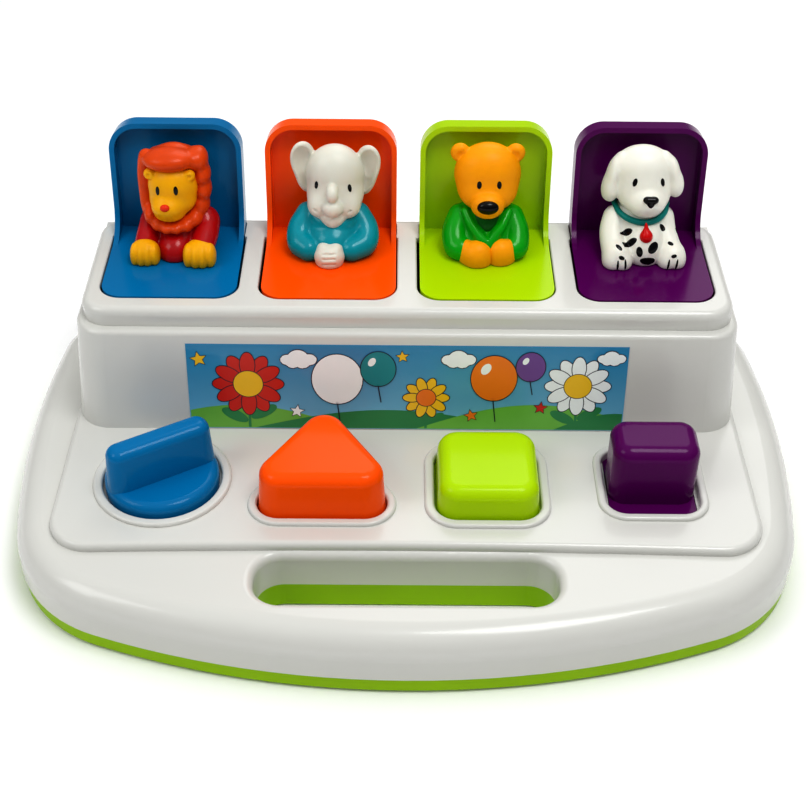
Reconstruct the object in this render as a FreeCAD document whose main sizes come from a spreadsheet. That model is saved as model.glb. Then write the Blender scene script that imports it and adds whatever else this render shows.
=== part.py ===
import FreeCAD, Part
import os, math
from FreeCAD import Vector as V, Placement, Rotation

# Pop up animal toy.  Millimetres, +Z up, X to the user's right, +Y away from the user.
# The origin is the middle of the footprint, at the underside of the feet.

doc = FreeCAD.newDocument("PopUpToy")
dims = doc.addObject("Spreadsheet::Sheet", "dims")

VALUES = [
    # base shell and tray
    ("base_half_width", 162.0), ("base_half_depth", 103.6),
    ("front_radius", 348.0), ("side_radius", 380.0), ("side_centre_y", 26.0),
    ("front_corner_radius", 57.0), ("rear_corner_radius", 28.0),
    ("foot_rise", 0.8), ("band_top", 8.0), ("shell_top", 28.5), ("shell_roll", 11.0),
    ("panel_top", 32.0), ("skin", 2.4), ("tray_inset", 0.6), ("tray_floor", 3.0),
    ("panel_half_width", 141.0), ("panel_front", -56.2), ("panel_bow", 2.2),
    ("panel_rear", 92.0), ("panel_corner", 17.0), ("panel_edge", 2.4),
    # handle slot
    ("slot_half_length", 58.6), ("slot_front", -83.2), ("slot_rear", -58.7), ("slot_corner", 11.0),
    ("slot_split", 12.0), ("slot_wall", 3.8), ("slot_lip", 3.4),
    # tower that carries the lids
    ("tower_half_low", 139.5), ("tower_front_low", 12.0), ("tower_rear_low", 96.5), ("tower_corner_low", 14.0),
    ("tower_half_high", 136.7), ("tower_front_high", 19.2), ("tower_rear_high", 95.6), ("tower_corner_high", 12.5),
    ("tower_top", 77.2), ("tower_roll", 2.2),
    # deck frame
    ("deck_half_width", 134.4), ("deck_front", 23.2), ("deck_rear", 93.5), ("deck_corner", 11.5),
    ("deck_top", 85.5), ("deck_plate", 2.5), ("deck_roll", 4.0), ("deck_skin", 2.4),
    ("opening_half", 28.8), ("opening_front", 31.9), ("opening_rear", 90.2), ("opening_corner", 9.6), ("opening_tight", 28.25), ("opening_shift", 0.35),
    # lids
    ("pitch", 66.0), ("lid_half", 28.0), ("lean", 9.8), ("axle_y", 84.8), ("axle_z", 81.5),
    ("lid_reach", 52.4), ("lid_height", 52.3), ("lid_offset", 4.0), ("lid_skin", 2.2),
    ("lip_depth", 8.5), ("lip_wall", 2.2), ("lid_corner", 12.0), ("lid_floor_corner", 9.0), ("lug_radius", 4.0), ("lug_width", 3.2),
    ("gusset_radius", 14.0), ("lug_bore", 1.56), ("rod_radius", 1.5), ("rod_half_length", 132.6),
    # controls
    ("row_y", -20.0), ("rim_height", 1.6), ("rim_round", 1.2),
    ("knob_radius", 23.0), ("knob_hole", 24.0), ("knob_rim", 28.0), ("knob_disc_top", 38.0), ("knob_disc_low", 30.0),
    ("knob_bar_top", 56.4), ("knob_bar_angle", 30.5), ("knob_bar_width", 13.6), ("knob_bar_width_top", 10.4), ("knob_stem_radius", 12.0),
    ("knob_turn", 60.0), ("cam_drop", 3.0), ("cam_arm", 10.0),
    ("tri_half_width", 25.5), ("tri_half_top", 24.2), ("tri_front", -22.5), ("tri_back", 21.8), ("tri_top", 51.8), ("tri_shift", -0.7), ("tri_hole_gap", 0.5), ("tri_rim", 3.7),
    ("sq_half", 20.6), ("sq_half_top", 19.7), ("sq_centre_y", -1.9), ("sq_top", 46.2), ("sq_shift", -0.5), ("sq_hole_gap", 0.7), ("sq_rim", 4.0), ("sq_corner", 8.5),
    ("slide_half_width", 17.4), ("slide_front", -9.8), ("slide_back", 13.2), ("slide_top", 56.6), ("slide_hole_half", 18.9), ("slide_rim", 3.4),
    ("slide_corner", 8.0), ("slide_travel", 7.0), ("slide_fall", 2.4),
    ("press_travel", 2.5),
    # release levers
    ("pin_y", -50.0), ("pin_z", 18.0), ("pin_radius", 1.5), ("pin_length", 15.0), ("hub_radius", 4.6), ("hub_bore", 1.56),
    ("bar_width", 7.0), ("bar_low", 15.5), ("bar_high", 21.0), ("boss_top", 25.0), ("bar_end", 89.2),
    ("nose_front", 86.2), ("nose_top", 32.4), ("lever_swing", 4.7746),
    ("spring_y", 2.0), ("spring_coil", 3.6), ("spring_wire", 0.8),
    # fixings
    ("boss_radius", 4.2), ("screw_radius", 1.45), ("screw_head", 3.0),
    ("foot_radius", 7.0),
    ("label_half", 91.0), ("label_low", 32.7), ("label_high", 72.2), ("label_skin", 0.25),
]
for n, (alias, val) in enumerate(VALUES, 1):
    dims.set("A%d" % n, alias)
    dims.set("B%d" % n, str(val))
    dims.setAlias("B%d" % n, alias)
doc.recompute()


def g(alias):
    return float(getattr(dims, alias))


def bind(obj, prop, expr):
    """expr: words that name sheet aliases with a leading @"""
    obj.setExpression(prop, expr.replace("@", "dims."))


NODES = []


def node(obj, name):
    obj.Label = name
    NODES.append((name, obj))
    return obj


def box(name, L, W, H, x, y, z, rot=None):
    b = doc.addObject("Part::Box", name)
    for p, e in (("Length", L), ("Width", W), ("Height", H)):
        if isinstance(e, str):
            bind(b, p, e)
        else:
            setattr(b, p, e)
    for p, e in (("x", x), ("y", y), ("z", z)):
        if isinstance(e, str):
            bind(b, "Placement.Base." + p, e)
        else:
            setattr(b.Placement.Base, p, e)
            base = b.Placement.Base
            base = V(e if p == "x" else base.x, e if p == "y" else base.y, e if p == "z" else base.z)
            b.Placement = Placement(base, b.Placement.Rotation)
    return b


def cyl(name, r, h, x, y, z, axis="z"):
    c = doc.addObject("Part::Cylinder", name)
    for p, e in (("Radius", r), ("Height", h)):
        if isinstance(e, str):
            bind(c, p, e)
        else:
            setattr(c, p, e)
    rot = {"z": Rotation(), "x": Rotation(V(0, 1, 0), 90), "y": Rotation(V(1, 0, 0), -90)}[axis]
    c.Placement = Placement(V(0, 0, 0), rot)
    for p, e in (("x", x), ("y", y), ("z", z)):
        if isinstance(e, str):
            bind(c, "Placement.Base." + p, e)
        else:
            base = c.Placement.Base
            c.Placement = Placement(V(e if p == "x" else base.x, e if p == "y" else base.y, e if p == "z" else base.z), rot)
    return c


def cut(name, a, b):
    c = doc.addObject("Part::Cut", name)
    c.Base = a
    c.Tool = b
    return c


def fuse(name, parts):
    f = doc.addObject("Part::MultiFuse", name)
    f.Shapes = parts
    f.Refine = True
    return f


def common(name, a, b):
    c = doc.addObject("Part::Common", name)
    c.Base = a
    c.Tool = b
    return c


def sketch(name, wires, z=0.0, placement=None):
    """a free sketch whose closed outlines are made from Part edges lying in z = 0"""
    s = doc.addObject("Sketcher::SketchObject", name)
    for edges in wires:
        for e in edges:
            s.addGeometry(e, False)
    s.Placement = placement or Placement(V(0, 0, z), Rotation())
    return s


def extrude(name, base, length, z=None, symmetric=False, taper=0.0):
    e = doc.addObject("Part::Extrusion", name)
    e.Base = base
    e.DirMode = "Normal"
    e.Solid = True
    if isinstance(length, str):
        bind(e, "LengthFwd", length)
    else:
        e.LengthFwd = length
    if taper:
        e.TaperAngle = taper
    e.Symmetric = symmetric
    return e


def fillet(name, base, radius, pick):
    doc.recompute()
    f = doc.addObject("Part::Fillet", name)
    f.Base = base
    ids = [i + 1 for i, ed in enumerate(base.Shape.Edges) if pick(ed)]
    if not ids:
        raise RuntimeError("no edge picked for " + name)
    f.Edges = [(i, radius, radius) for i in ids]
    return f


def at_z(z, tol=1e-3):
    return lambda ed: all(abs(v.Z - z) < tol for v in ed.Vertexes) and abs(ed.BoundBox.ZMax - z) < tol and abs(ed.BoundBox.ZMin - z) < tol


def vertical(ed):
    if len(ed.Vertexes) != 2:
        return False
    a, b = ed.Vertexes[0].Point, ed.Vertexes[1].Point
    return abs(a.x - b.x) < 1e-6 and abs(a.y - b.y) < 1e-6 and abs(a.z - b.z) > 1e-3


def arc(c, r, a0, a1):
    return Part.ArcOfCircle(Part.Circle(V(c[0], c[1], 0), V(0, 0, 1), r), math.radians(a0), math.radians(a1))


def seg(p, q):
    return Part.LineSegment(V(p[0], p[1], 0), V(q[0], q[1], 0))


def rounded_rect(x0, x1, y0, y1, r):
    return [seg((x0 + r, y0), (x1 - r, y0)), arc((x1 - r, y0 + r), r, 270, 360),
            seg((x1, y0 + r), (x1, y1 - r)), arc((x1 - r, y1 - r), r, 0, 90),
            seg((x1 - r, y1), (x0 + r, y1)), arc((x0 + r, y1 - r), r, 90, 180),
            seg((x0, y1 - r), (x0, y0 + r)), arc((x0 + r, y0 + r), r, 180, 270)]


def base_outline(off):
    """footprint: a bowed front, full corners, bowed sides and a straight rear, moved inwards by off"""
    R1, R2, R3, R4 = g("front_radius"), g("side_radius"), g("front_corner_radius"), g("rear_corner_radius")
    hw, hd, ys = g("base_half_width"), g("base_half_depth"), g("side_centre_y")
    c1 = (0.0, -hd + R1)
    c2 = (hw - R2, ys)
    # corner circle that touches the front and the side from inside
    d1, d2 = R1 - R3, R2 - R3
    dx, dy = c2[0] - c1[0], c2[1] - c1[1]
    d = math.hypot(dx, dy)
    a = (d1 * d1 - d2 * d2 + d * d) / (2 * d)
    h = math.sqrt(d1 * d1 - a * a)
    px, py = c1[0] + a * dx / d, c1[1] + a * dy / d
    cand = [(px + h * dy / d, py - h * dx / d), (px - h * dy / d, py + h * dx / d)]
    c3 = max(cand, key=lambda c: c[0])
    y4 = hd - R4
    c4 = (c2[0] + math.sqrt((R2 - R4) ** 2 - (y4 - ys) ** 2), y4)
    ang = lambda c, p: math.degrees(math.atan2(p[1] - c[1], p[0] - c[0]))
    aF = ang(c1, c3)          # front arc runs from 180-aF to aF below
    aS0 = ang(c2, c3)
    aS1 = ang(c2, c4)
    out = []
    mir = lambda c: (-c[0], c[1])
    out.append(arc(c1, R1 - off, 180 - aF, aF + 360) if aF < 0 else arc(c1, R1 - off, 180 - aF, aF))
    out.append(arc(c3, R3 - off, aF, aS0))
    out.append(arc(c2, R2 - off, aS0, aS1))
    out.append(arc(c4, R4 - off, aS1, 90))
    out.append(seg((c4[0], hd - off), (-c4[0], hd - off)))
    out.append(arc(mir(c4), R4 - off, 90, 180 - aS1))
    out.append(arc(mir(c2), R2 - off, 180 - aS1, 180 - aS0))
    out.append(arc(mir(c3), R3 - off, 180 - aS0, 180 - aF))
    return out


def panel_outline(off):
    """a slightly bowed front, full front corners, straight sides and rear"""
    hw, yf, yr, r, bow = g("panel_half_width") - off, g("panel_front") + off, g("panel_rear") - off, g("panel_corner") - off, g("panel_bow")
    half = hw - 10.0
    R = half * half / (2 * bow)
    # the middle stands back and the ends come forward, so the arc bulges away from the user
    cy = yf - R
    # corner circle that touches the side and the arc
    cx = hw - r
    yc = cy + math.sqrt((R + r) ** 2 - cx * cx)
    ang = math.degrees(math.atan2(yc - cy, cx))
    return [arc((0.0, cy), R, ang, 180 - ang), arc((-cx, yc), r, 180, 360 - ang),
            seg((-hw, yc), (-hw, yr - r)), arc((-hw + r, yr - r), r, 90, 180), seg((-hw + r, yr), (hw - r, yr)),
            arc((hw - r, yr - r), r, 0, 90), seg((hw, yr - r), (hw, yc)), arc((cx, yc), r, 180 + ang, 360)]


def triangle_outline(half, y0, y1, r, cx, cy):
    """triangle with rounded corners that touches y0, y1 and +-half"""
    # corner circle centres
    a = (half - r, y0 + r)
    b = (0.0, y1 - r)
    # tangent line on the right-hand side
    ux, uy = b[0] - a[0], b[1] - a[1]
    L = math.hypot(ux, uy)
    nx, ny = uy / L, -ux / L
    an = math.degrees(math.atan2(ny, nx))
    out = [seg((-a[0] + cx, y0 + cy), (a[0] + cx, y0 + cy)), arc((a[0] + cx, a[1] + cy), r, -90, an),
           seg((a[0] + nx * r + cx, a[1] + ny * r + cy), (b[0] + nx * r + cx, b[1] + ny * r + cy)),
           arc((b[0] + cx, b[1] + cy), r, an, 180 - an),
           seg((b[0] - nx * r + cx, b[1] + ny * r + cy), (-a[0] - nx * r + cx, a[1] + ny * r + cy)),
           arc((-a[0] + cx, a[1] + cy), r, 180 - an, 270)]
    return out


XC = [-1.5 * g("pitch"), -0.5 * g("pitch"), 0.5 * g("pitch"), 1.5 * g("pitch")]
XE = ["-1.5*@pitch", "-0.5*@pitch", "0.5*@pitch", "1.5*@pitch"]
ROW = g("row_y")
SK = g("skin")

# ------------------------------------------------------------------ white top shell
outer = sketch("shell_outline", [base_outline(0)], g("band_top"))
outer_x = extrude("shell_block", outer, "@shell_top-@band_top")
outer_f = fillet("shell_roll_edge", outer_x, g("shell_roll"), at_z(g("shell_top")))
pan = sketch("panel_sketch", [panel_outline(0)], g("shell_top") - 1.5)
pan_x = extrude("panel_block", pan, "@panel_top-@shell_top+1.5")
pan_f = fillet("panel_edge_round", pan_x, g("panel_edge"), at_z(g("panel_top")))


def tower(name, off, z0, z1):
    """hollow or solid frustum between two rounded rectangles, moved inwards by off"""
    zl, zh = g("panel_top"), g("tower_top")

    def at(z):
        k = (z - zl) / (zh - zl)
        m = lambda a, b: g(a) + (g(b) - g(a)) * k
        hw = m("tower_half_low", "tower_half_high") - off
        return rounded_rect(-hw, hw, m("tower_front_low", "tower_front_high") + off, m("tower_rear_low", "tower_rear_high") - off,
                            m("tower_corner_low", "tower_corner_high") - off)
    lo = sketch(name + "_low", [at(z0)], z0)
    hi = sketch(name + "_high", [at(z1)], z1)
    lf = doc.addObject("Part::Loft", name)
    lf.Sections = [lo, hi]
    lf.Solid = True
    lf.Ruled = True
    return lf


tw = tower("tower_block", 0, 25.8, g("tower_top"))
tw_f = fillet("tower_shoulder", tw, g("tower_roll"), at_z(g("tower_top")))


tw_out = tower("tower_footprint", 0, 21.0, 36.0)


def rim(name, outer_wire, inner_wire):
    """raised bead round a control, rounded on both edges"""
    s = sketch(name + "_sketch", [outer_wire, inner_wire], g("panel_top") - 0.6)
    e = extrude(name + "_block", s, "@rim_height+0.6")
    return fillet(name + "_round", e, g("rim_round"), at_z(g("panel_top") + g("rim_height")))


def circle_wire(cx, cy, r):
    return [Part.Circle(V(cx, cy, 0), V(0, 0, 1), r)]


th, tf, tb, tg, tr = g("tri_half_width"), g("tri_front"), g("tri_back"), g("tri_hole_gap"), g("tri_rim")
sh, sg, sr, sc = g("sq_half"), g("sq_hole_gap"), g("sq_rim"), g("sq_corner")
sy = ROW + g("sq_centre_y")
ph, pr, pc = g("slide_hole_half"), g("slide_rim"), g("slide_corner")
TRI_R = 8.6
XT, XQ = XC[1] + g("tri_shift"), XC[2] + g("sq_shift")
tri_w = lambda o: triangle_outline(th + o, tf - o, tb + 1.3 * o, TRI_R + o, XT, ROW)
sq_w = lambda o: rounded_rect(XQ - sh - o, XQ + sh + o, sy - sh - o, sy + sh + o, sc + o)
pu_w = lambda o: rounded_rect(XC[3] - ph - o, XC[3] + ph + o, ROW - ph - o, ROW + ph + o, pc + o)
rims = [rim("knob_rim_bead", circle_wire(XC[0], ROW, g("knob_rim")), circle_wire(XC[0], ROW, g("knob_hole"))),
        rim("tri_rim_bead", tri_w(tg + tr), tri_w(tg)),
        rim("sq_rim_bead", sq_w(sg + sr), sq_w(sg)),
        rim("slide_rim_bead", pu_w(pr), pu_w(0))]

slot_wire = lambda o: rounded_rect(-g("slot_half_length") - o, g("slot_half_length") + o, g("slot_front") - o, g("slot_rear") + o, g("slot_corner") + o)
slot_sleeve = extrude("slot_sleeve", sketch("slot_sleeve_sketch", [slot_wire(g("slot_wall"))], g("slot_split")), "@shell_top-@slot_split-0.6")

# the cavity under the skin
inner = extrude("shell_cavity_block", sketch("shell_cavity_sketch", [base_outline(SK)], g("band_top") - 1), "@shell_top-@skin-@band_top+1")
inner_f = fillet("shell_cavity_roll", inner, g("shell_roll") - SK + 0.6, at_z(g("shell_top") - SK))
pan_in = extrude("panel_cavity", sketch("panel_cavity_sketch", [panel_outline(SK)], g("shell_top") - SK - 1.0), "@panel_top-@shell_top+1.0")
tw_in = tower("tower_cavity", SK, 20.0, g("tower_top") - 2.4)
mouth = extrude("tower_mouth", sketch("tower_mouth_sketch", [rounded_rect(-131.6, 131.6, 26.2, 90.6, 9.0)], g("tower_top") - 6), 8.0)
cavity = fuse("top_cavity", [inner_f, pan_in])
solid_top = fuse("top_outer", [outer_f, pan_f] + rims)
tower_shell = node(cut("tower_hollow", tw_f, fuse("tower_hole", [tw_in, mouth])), "tower_shell")
hollow = cut("top_hollow", solid_top, cavity)
# screw posts stand on the underside of the skin and end on the tray's own posts
POSTS = [(-126.0, -38.0), (126.0, -38.0), (-66.0, -44.0), (66.0, -44.0), (-66.0, 72.0), (66.0, 72.0), (-146.0, 60.0), (146.0, 60.0)]
posts = []
for i, (x, y) in enumerate(POSTS):
    top = g("panel_top") - 1.2 if abs(x) < 140 and y < 10 else (g("shell_top") - 1.2)
    if y > 10 and abs(x) < 140:
        continue
    posts.append(cyl("shell_post_%d" % i, "@boss_radius", top - 12.0, x, y, 12.0))
# floor of the knob's well, with the bearing hole for its stem
posts.append(cyl("knob_well", "@knob_hole+2.4", 2.2, XE[0], "@row_y", 28.0))
# rails that carry the sliding block's cover plate
for sd in (-1, 1):
    x_in = XC[3] + sd * (g("slide_half_width") + 0.3)
    x_lip = XC[3] + sd * (g("slide_half_width") - 2.6)
    x_out = XC[3] + sd * (g("slide_half_width") + 2.5)
    posts.append(box("slide_rail_%d" % (sd + 1), abs(x_out - x_in), 56.0, 5.4, min(x_in, x_out), ROW - 30.0, 25.2))
    posts.append(box("slide_rail_lip_%d" % (sd + 1), abs(x_out - x_lip), 56.0, 1.9, min(x_lip, x_out), ROW - 30.0, 25.2))
body_top = fuse("top_with_posts", [hollow, slot_sleeve] + posts)
cuts = [tw_out]
cuts.append(cyl("knob_bore", "@knob_hole", 20.0, XE[0], "@row_y", 29.8))
cuts.append(cyl("knob_stem_bore", "@knob_stem_radius+0.06", 20.0, XE[0], "@row_y", 22.0))
cuts.append(extrude("tri_bore", sketch("tri_bore_sketch", [tri_w(tg)], 22.0), 20.0))
cuts.append(extrude("sq_bore", sketch("sq_bore_sketch", [sq_w(sg)], 22.0), 20.0))
cuts.append(extrude("slide_bore", sketch("slide_bore_sketch", [pu_w(0)], g("panel_top") - SK - 0.05), 12.0))
cuts.append(extrude("slot_bore", sketch("slot_bore_sketch", [slot_wire(0)], 5.0), 40.0))
for i, (x, y) in enumerate(POSTS):
    if y > 10 and abs(x) < 140:
        continue
    cuts.append(cyl("shell_post_bore_%d" % i, "@screw_radius", 12.0, x, y, 11.0))
top_cut = cut("top_bored", body_top, fuse("top_bores", cuts))


def slot_edge(ed):
    bb = ed.BoundBox
    return (abs(bb.ZMin - g("shell_top")) < 1e-3 and abs(bb.ZMax - g("shell_top")) < 1e-3 and
            bb.YMax < g("slot_rear") + 0.01 and bb.YMin > g("slot_front") - 0.01 and abs(bb.XMax) < 60 and abs(bb.XMin) < 60)


base_shell = node(fillet("top_slot_lip", top_cut, g("slot_lip"), slot_edge), "base_shell")

# ------------------------------------------------------------------ green base tray
ti = g("tray_inset")
tray_block = extrude("tray_block", sketch("tray_outline", [base_outline(ti)], g("foot_rise")), "@band_top-@foot_rise")
tray_f = fillet("tray_foot_round", tray_block, 1.2, at_z(g("foot_rise")))
tray_cav = extrude("tray_cavity", sketch("tray_cavity_sketch", [base_outline(ti + SK)], g("tray_floor")), 20.0)
tray_pan = cut("tray_pan", tray_f, tray_cav)
tray_sleeve = extrude("tray_sleeve", sketch("tray_sleeve_sketch", [slot_wire(g("slot_wall"))], 1.4), "@slot_split-1.4")
tray_parts = [tray_pan, tray_sleeve]
# a spigot ring inside the shell's skirt keeps the two halves in line
ring = cut("tray_ring", extrude("tray_ring_block", sketch("tray_ring_out", [base_outline(SK + 0.25)], 2.0), 9.0),
           extrude("tray_ring_hole", sketch("tray_ring_in", [base_outline(SK + 0.25 + 1.8)], 1.0), 12.0))
tray_parts.append(ring)
for i, (x, y) in enumerate(POSTS):
    if y > 10 and abs(x) < 140:
        continue
    tray_parts.append(cyl("tray_post_%d" % i, "@boss_radius", "12.0-1.4", x, y, 1.4))
for i, x in enumerate(XE):
    tray_parts.append(box("pin_cheek_a%d" % i, 3.0, 9.0, 20.6, x + "-7.5", "@pin_y-4.5", 1.4))
    tray_parts.append(box("pin_cheek_b%d" % i, 3.0, 9.0, 20.6, x + "+4.5", "@pin_y-4.5", 1.4))
    tray_parts.append(cyl("spring_seat_%d" % i, 2.6, 5.0, x, "@spring_y", 1.4))
    # two fences keep the lever's free end under its lid
    tray_parts.append(box("fence_a%d" % i, 2.0, 10.0, 15.0, x + "-6.0", 66.0, 1.4))
    tray_parts.append(box("fence_b%d" % i, 2.0, 10.0, 15.0, x + "+4.0", 66.0, 1.4))
tray_solid = fuse("tray_solid", tray_parts)
tray_cuts = [extrude("tray_slot_bore", sketch("tray_slot_sketch", [slot_wire(0)], -3.0), 30.0)]
FEET = [(-128.0, -34.0), (128.0, -34.0), (-132.0, 78.0), (132.0, 78.0), (-40.0, -93.0), (40.0, -93.0)]
for i, (x, y) in enumerate(POSTS):
    if y > 10 and abs(x) < 140:
        continue
    tray_cuts.append(cyl("tray_screw_bore_%d" % i, "@screw_radius+0.25", 20.0, x, y, -1.0))
    tray_cuts.append(cyl("tray_screw_sink_%d" % i, "@screw_head+0.3", 6.0, x, y, -1.0))
for i, x in enumerate(XE):
    tray_cuts.append(cyl("pin_hole_%d" % i, "@pin_radius", 40.0, x + "-20", "@pin_y", "@pin_z", "x"))
FR = [(-112.0, -52.0), (112.0, -52.0), (-132.0, 80.0), (132.0, 80.0)]
for i, (x, y) in enumerate(FR):
    tray_cuts.append(cyl("foot_recess_%d" % i, "@foot_radius", 1.0, x, y, 0.6))
base_tray = node(cut("tray_bored", tray_solid, fuse("tray_bores", tray_cuts)), "base_tray")

feet = []
for i, (x, y) in enumerate(FR):
    feet.append(cyl("foot_%d" % i, "@foot_radius-0.15", 1.6, x, y, 0.0))
fz = []
for i, f in enumerate(feet):
    fz.append(fillet("foot_round_%d" % i, f, 0.4, at_z(0.0)))
rubber_feet = doc.addObject("Part::Compound", "feet_group")
rubber_feet.Links = fz
node(rubber_feet, "rubber_feet")

# ------------------------------------------------------------------ base screws, up through the tray into the shell's posts
scr = []
for i, (x, y) in enumerate(POSTS):
    if y > 10 and abs(x) < 140:
        continue
    head = cyl("screw_head_%d" % i, "@screw_head", 1.8, x, y, 3.2)
    shank = cyl("screw_shank_%d" % i, "@screw_radius-0.02", 15.0, x, y, 4.0)
    drive = box("screw_drive_%d" % i, 3.6, 0.8, 1.0, x - 1.8, y - 0.4, 3.0)
    drive2 = box("screw_drive_b%d" % i, 0.8, 3.6, 1.0, x - 0.4, y - 1.8, 3.0)
    scr.append(cut("screw_%d" % i, fuse("screw_blank_%d" % i, [head, shank]), fuse("screw_cross_%d" % i, [drive, drive2])))
base_screws = doc.addObject("Part::Compound", "screw_group")
base_screws.Links = scr
node(base_screws, "base_screws")

# ------------------------------------------------------------------ deck frame that closes the tower
dh, dfy, dry, dcr = g("deck_half_width"), g("deck_front"), g("deck_rear"), g("deck_corner")
deck_x = extrude("deck_block", sketch("deck_outline", [rounded_rect(-dh, dh, dfy, dry, dcr)], g("tower_top")), "@deck_top-@tower_top")
deck_f = fillet("deck_roll_edge", deck_x, g("deck_roll") - 0.6, at_z(g("deck_top")))
ds = g("deck_skin")
deck_cav = extrude("deck_cavity", sketch("deck_cavity_sketch", [rounded_rect(-dh + ds, dh - ds, dfy + ds, dry - ds, dcr - ds)], g("tower_top") - 1), "@deck_top-@deck_plate-@tower_top+1")
deck_h = cut("deck_hollow", deck_f, deck_cav)
dparts = [deck_h]
RIBX = [-2.0 * g("pitch"), -g("pitch"), 0.0, g("pitch"), 2.0 * g("pitch")]
for i, x in enumerate(RIBX):
    w = 6.0 if abs(x) < 130 else 3.2
    x0 = x - 3.0 if abs(x) < 130 else (129.4 if x > 0 else -132.6)
    dparts.append(box("hinge_rib_%d" % i, w, 12.0, 6.7, x0, 79.0, "@tower_top+0.1"))
# locating lip that drops inside the tower's mouth
lip = cut("deck_lip", extrude("deck_lip_block", sketch("deck_lip_out", [rounded_rect(-131.3, 131.3, 26.5, 90.3, 8.7)], g("tower_top") - 3.0), 9.0),
          extrude("deck_lip_hole", sketch("deck_lip_in", [rounded_rect(-129.7, 129.7, 28.1, 88.7, 7.1)], g("tower_top") - 5.0), 13.0))
lip_keep = cut("deck_lip_open", lip, box("deck_lip_rear_gap", 270.0, 14.0, 30.0, -135.0, 80.0, 60.0))
dparts.append(lip_keep)
deck_s = fuse("deck_solid", dparts)
dcuts = []
for i in range(4):
    # the rear corners of each opening are tight, the front ones full; behind the hinge rod's ribs it closes in on the lid
    r, q = g("opening_corner"), 1.5
    o = g("opening_shift") if i in (1, 2) else 0.0
    x0, x1, y0, y1 = XC[i] - g("opening_half") - o, XC[i] + g("opening_half") - o, g("opening_front"), g("opening_rear")
    t0, t1, yt = XC[i] - g("opening_tight"), XC[i] + g("opening_tight"), 78.0
    w = [seg((x0 + r, y0), (x1 - r, y0)), arc((x1 - r, y0 + r), r, 270, 360), seg((x1, y0 + r), (x1, yt)), seg((x1, yt), (t1, yt)),
         seg((t1, yt), (t1, y1 - q)), arc((t1 - q, y1 - q), q, 0, 90),
         seg((t1 - q, y1), (t0 + q, y1)), arc((t0 + q, y1 - q), q, 90, 180), seg((t0, y1 - q), (t0, yt)), seg((t0, yt), (x0, yt)),
         seg((x0, yt), (x0, y0 + r)), arc((x0 + r, y0 + r), r, 180, 270)]
    dcuts.append(extrude("opening_%d" % i, sketch("opening_sketch_%d" % i, [w], 70.0), 20.0))
dcuts.append(cyl("rod_hole", "@rod_radius", "2*@rod_half_length+0.4", "-@rod_half_length-0.2", "@axle_y", "@axle_z", "x"))
deck_c = cut("deck_bored", deck_s, fuse("deck_bores", dcuts))


def opening_top(ed):
    bb = ed.BoundBox
    if abs(bb.ZMin - g("deck_top")) > 1e-3 or abs(bb.ZMax - g("deck_top")) > 1e-3:
        return False
    return bb.YMin > g("opening_front") - 0.01 and bb.YMax < 78.01 and bb.YMax - bb.YMin + bb.XMax - bb.XMin > 1.0 and max(abs(bb.XMin), abs(bb.XMax)) < XC[3] + g("opening_half") + 0.5


deck_frame = node(fillet("deck_opening_round", deck_c, 0.7, opening_top), "deck_frame")

# ------------------------------------------------------------------ printed label on the sloping front of the tower
sl = math.atan2(g("tower_front_high") - g("tower_front_low"), g("tower_top") - g("panel_top"))
lz0, lz1 = g("label_low"), g("label_high")
ly0 = g("tower_front_low") + (lz0 - g("panel_top")) * math.tan(sl)
lab = doc.addObject("Part::Box", "label_plate")
bind(lab, "Length", "2*@label_half")
bind(lab, "Width", "@label_skin")
lab.Height = (lz1 - lz0) / math.cos(sl)
lab.Placement = Placement(V(-g("label_half"), ly0 - g("label_skin") / math.cos(sl) - 0.01, lz0), Rotation(V(1, 0, 0), -math.degrees(sl)))
node(lab, "front_label")

# ------------------------------------------------------------------ lids
AY, AZ = g("axle_y"), g("axle_z")
LEAN = math.radians(g("lean"))
UH = (math.sin(LEAN), math.cos(LEAN))       # up the back plate, in y, z
VH = (-math.cos(LEAN), math.sin(LEAN))      # out of the back plate, towards the user


def uv(u, v):
    return (AY + u * UH[0] + v * VH[0], AZ + u * UH[1] + v * VH[1])


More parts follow.
